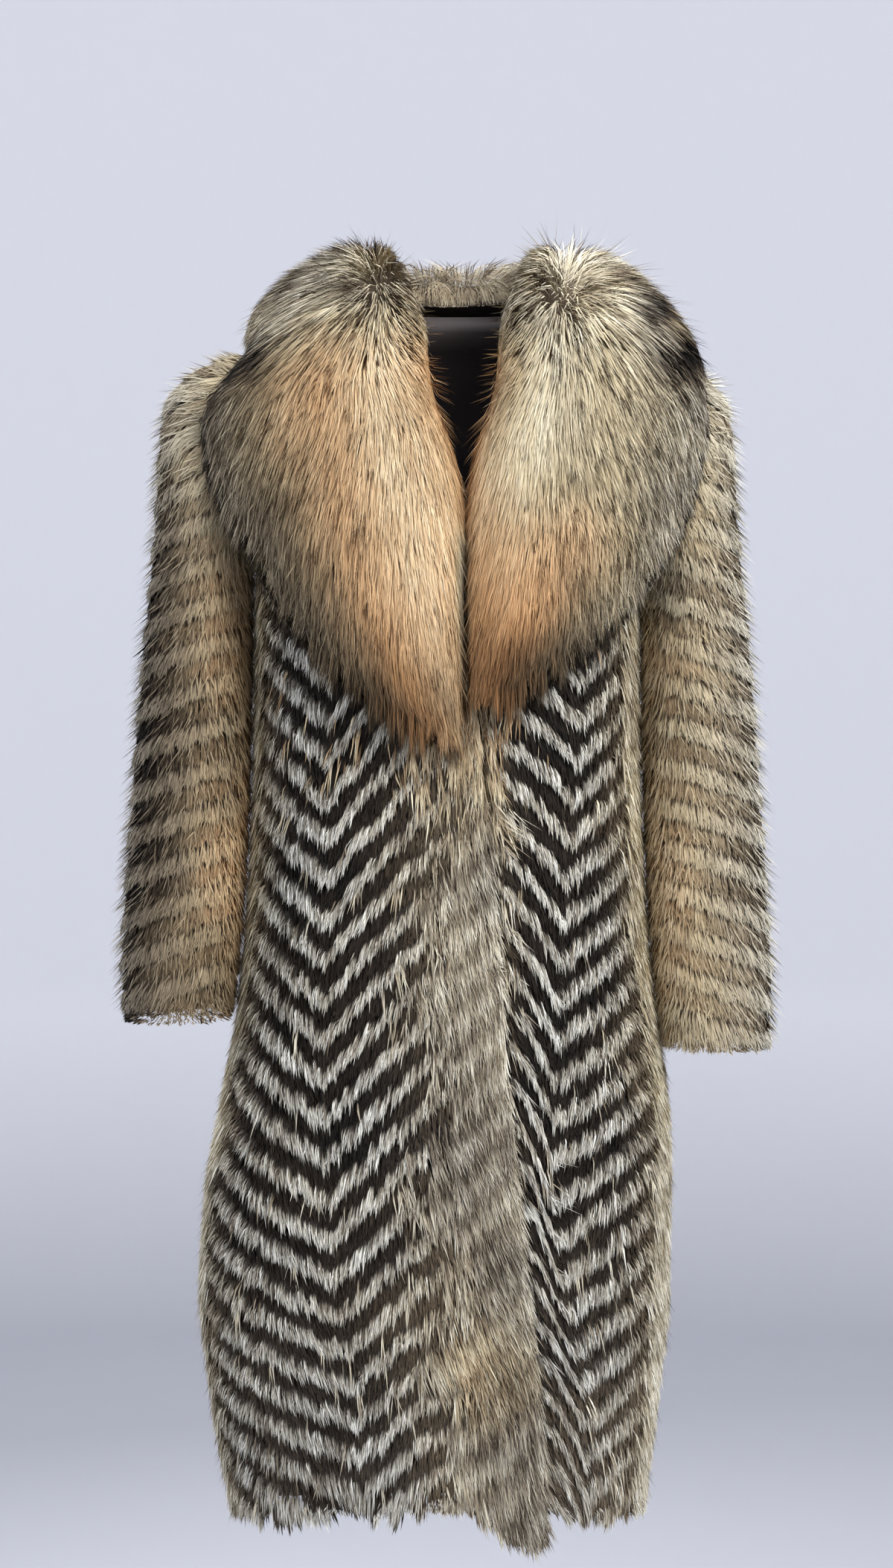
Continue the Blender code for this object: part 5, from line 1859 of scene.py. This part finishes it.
            # The dark strands under the rim: partly dark fur, partly painted shadow.
            tones[:, k] = np.where(fur.kind == Kind.DARK, 0.13 + jitter, tones[:, k])
            tones[:, k] -= self.shade[k]
        outer = np.maximum(smooth(0.55, 0.80, near_root), smooth(5.4, 4.6, np.abs(self.station(fur.across))))
        draw = chance.random(count)
        pale = (draw < 0.12 + 0.22 * outer) & (fur.kind == Kind.LIGHT)
        inky = (draw > 1 - 0.34 * outer) & (fur.kind == Kind.LIGHT)
        tones[:, -1] += np.where(pale, 0.16 + 0.16 * outer, 0.0) - np.where(inky, 0.45, 0.0)
        return tones, warmths


# ---- Studio ----

@dataclass(frozen=True)
class Studio:
    """Pale paper all round, soft lamps, and the camera."""

    radius: float = 5.8                 # of the round wall
    wall: float = 6.4                   # its height
    bend: float = 0.9                   # size of the curve between the floor and the wall
    aim: tuple[float, float, float] = (0.0, 0.0, -0.55)         # where the lamps look
    air: tuple[float, float, float, float] = (0.82, 0.83, 0.88, 1.0)
    lamps: tuple = (                    # name, place, size, power, colour
        ("key_lamp", (1.5, -2.4, 1.1), 1.4, 100.0, (1.0, 0.985, 0.96)),
        ("fill_lamp", (-2.2, -2.0, 0.2), 2.0, 26.0, (0.95, 0.97, 1.0)),
        ("top_lamp", (0.2, 0.6, 1.4), 1.8, 26.0, (1.0, 1.0, 1.0)),
        ("back_lamp", (-0.6, 2.6, 0.6), 2.2, 40.0, (1.0, 1.0, 1.0)),
    )
    camera_place: tuple[float, float, float] = (0.0, -2.8, -0.477)
    lens: float = 65.54

    def paper(self, finish: bpy.types.Material) -> None:
        """Makes the floor, which curves up into a round wall.

        Args:
            finish: The paper's material.
        """
        for thing in bpy.context.selected_objects:
            thing.select_set(False)
        bpy.ops.mesh.primitive_circle_add(vertices=64, radius=self.radius, fill_type="NGON",
                                          location=(0.0, 0.0, FLOOR_HEIGHT))
        paper = bpy.context.active_object
        paper.name = "studio_floor"
        bpy.ops.object.mode_set(mode="EDIT")
        bpy.ops.mesh.select_all(action="SELECT")
        bpy.ops.mesh.extrude_region_move(TRANSFORM_OT_translate={"value": (0.0, 0.0, self.wall)})
        bpy.ops.mesh.delete(type="ONLY_FACE")
        bpy.ops.object.mode_set(mode="OBJECT")
        rim = [v.co.z < 0.001 for v in paper.data.vertices]
        for edge in paper.data.edges:
            edge.select = all(rim[i] for i in edge.vertices)
        bpy.ops.object.mode_set(mode="EDIT")
        bpy.ops.mesh.select_mode(type="EDGE")
        bpy.ops.mesh.bevel(offset=self.bend, segments=12, affect="EDGES")
        bpy.ops.mesh.select_all(action="SELECT")
        bpy.ops.mesh.normals_make_consistent(inside=True)
        bpy.ops.mesh.faces_shade_smooth()
        bpy.ops.object.mode_set(mode="OBJECT")
        bpy.ops.object.transform_apply(location=True, rotation=True, scale=True)
        paper.data.materials.append(finish)

    def lamp(self, name: str, place: tuple[float, float, float], size: float, power: float,
             colour: tuple[float, float, float]) -> None:
        """A square soft lamp that looks at the coat's middle.

        Args:
            name: The lamp's name.
            place: Where it hangs.
            size: Length of its sides.
            power: Its power in watts.
            colour: Its colour.
        """
        light = bpy.data.lights.new(name, "AREA")
        light.shape, light.size, light.energy, light.color = "SQUARE", size, power, colour
        lamp = bpy.data.objects.new(name, light)
        bpy.context.scene.collection.objects.link(lamp)
        lamp.location = place
        aim = Vector(self.aim) - Vector(place)
        lamp.rotation_euler = aim.to_track_quat("-Z", "Y").to_euler()

    def build(self) -> None:
        """Sets up the paper, the lamps, the air and the camera."""
        scene = bpy.context.scene
        self.paper(BackdropFinish().material())
        for row in self.lamps:
            self.lamp(*row)
        world = bpy.data.worlds.new("studio_air")
        world.use_nodes = True
        air = world.node_tree.nodes["Background"]
        air.inputs["Color"].default_value = self.air
        scene.world = world
        scene.view_settings.view_transform = "Standard"
        camera = bpy.data.cameras.new("camera")
        camera.lens, camera.sensor_width, camera.sensor_fit = self.lens, 36.0, "AUTO"
        camera.clip_end = 50.0
        eye = bpy.data.objects.new("camera", camera)
        eye.location, eye.rotation_euler = self.camera_place, (math.radians(90.0), 0.0, 0.0)
        scene.collection.objects.link(eye)
        scene.camera = eye


def coat_pieces() -> list[FurPiece]:
    """Lists the coat's cut pieces: node, slot, strands, width of a strand, flat size, area and seed.

    Returns:
        The pieces: body, sleeves and collar.
    """
    return [
        BodyPanel("front_upper", "body_fur", 88000, 0.0016, (0.37, 1.28), 0.345, 11, cut=Cut.UPPER_FRONT),
        BodyPanel("front_under", "body_fur", 66000, 0.0016, (0.26, 1.25), 0.275, 12, cut=Cut.UNDER_FRONT,
                  faded=0.72, wander=0.008, fade=0.030),
        BodyPanel("back", "body_fur", 96000, 0.0019, (0.58, 1.29), 0.605, 13, cut=Cut.BACK, lift=0.20,
                  leans=(0.30, 0.30)),
        SleevePiece("sleeve_right", "sleeve_fur", 58000, 0.0016, (0.49, 0.67), 0.186, 21, side=-1),
        SleevePiece("sleeve_left", "sleeve_fur", 58000, 0.0016, (0.49, 0.70), 0.194, 22, side=1),
        CollarPiece("collar_upper", "collar_fur", 56000, 0.00105, (1.00, 0.27), 0.172, 31),
        CollarPiece("lapel_right", "collar_fur", 30000, 0.0010, (0.42, 0.24), 0.068, 32, start=-LAPEL_TIP,
                    end=-COLLAR_SEAM, columns=71),
        CollarPiece("lapel_left", "collar_fur", 30000, 0.0010, (0.37, 0.22), 0.060, 33, start=COLLAR_SEAM,
                    end=LAPEL_TIP, columns=71),
    ]


def main() -> None:
    """Builds the coat and the studio."""
    logging.basicConfig(level=logging.INFO, format="%(message)s")
    fur = FurFinish("fur_strands").material()
    body = UnderfurFinish("body_underfur", (34, 27, 23), (150, 144, 134)).material()
    sleeve = UnderfurFinish("sleeve_underfur", (104, 86, 68), (152, 138, 118), 0.6).material()
    collar = UnderfurFinish("collar_underfur", (84, 70, 54), (158, 124, 90), 0.4).material()
    finishes = Finishes({"body_fur": fur, "sleeve_fur": fur, "collar_fur": fur},
                        {"body_fur": body, "sleeve_fur": sleeve, "collar_fur": collar},
                        LiningFinish().material())
    for piece in coat_pieces():
        piece.build(finishes)
    Studio().build()


if __name__ == "__main__":
    main()
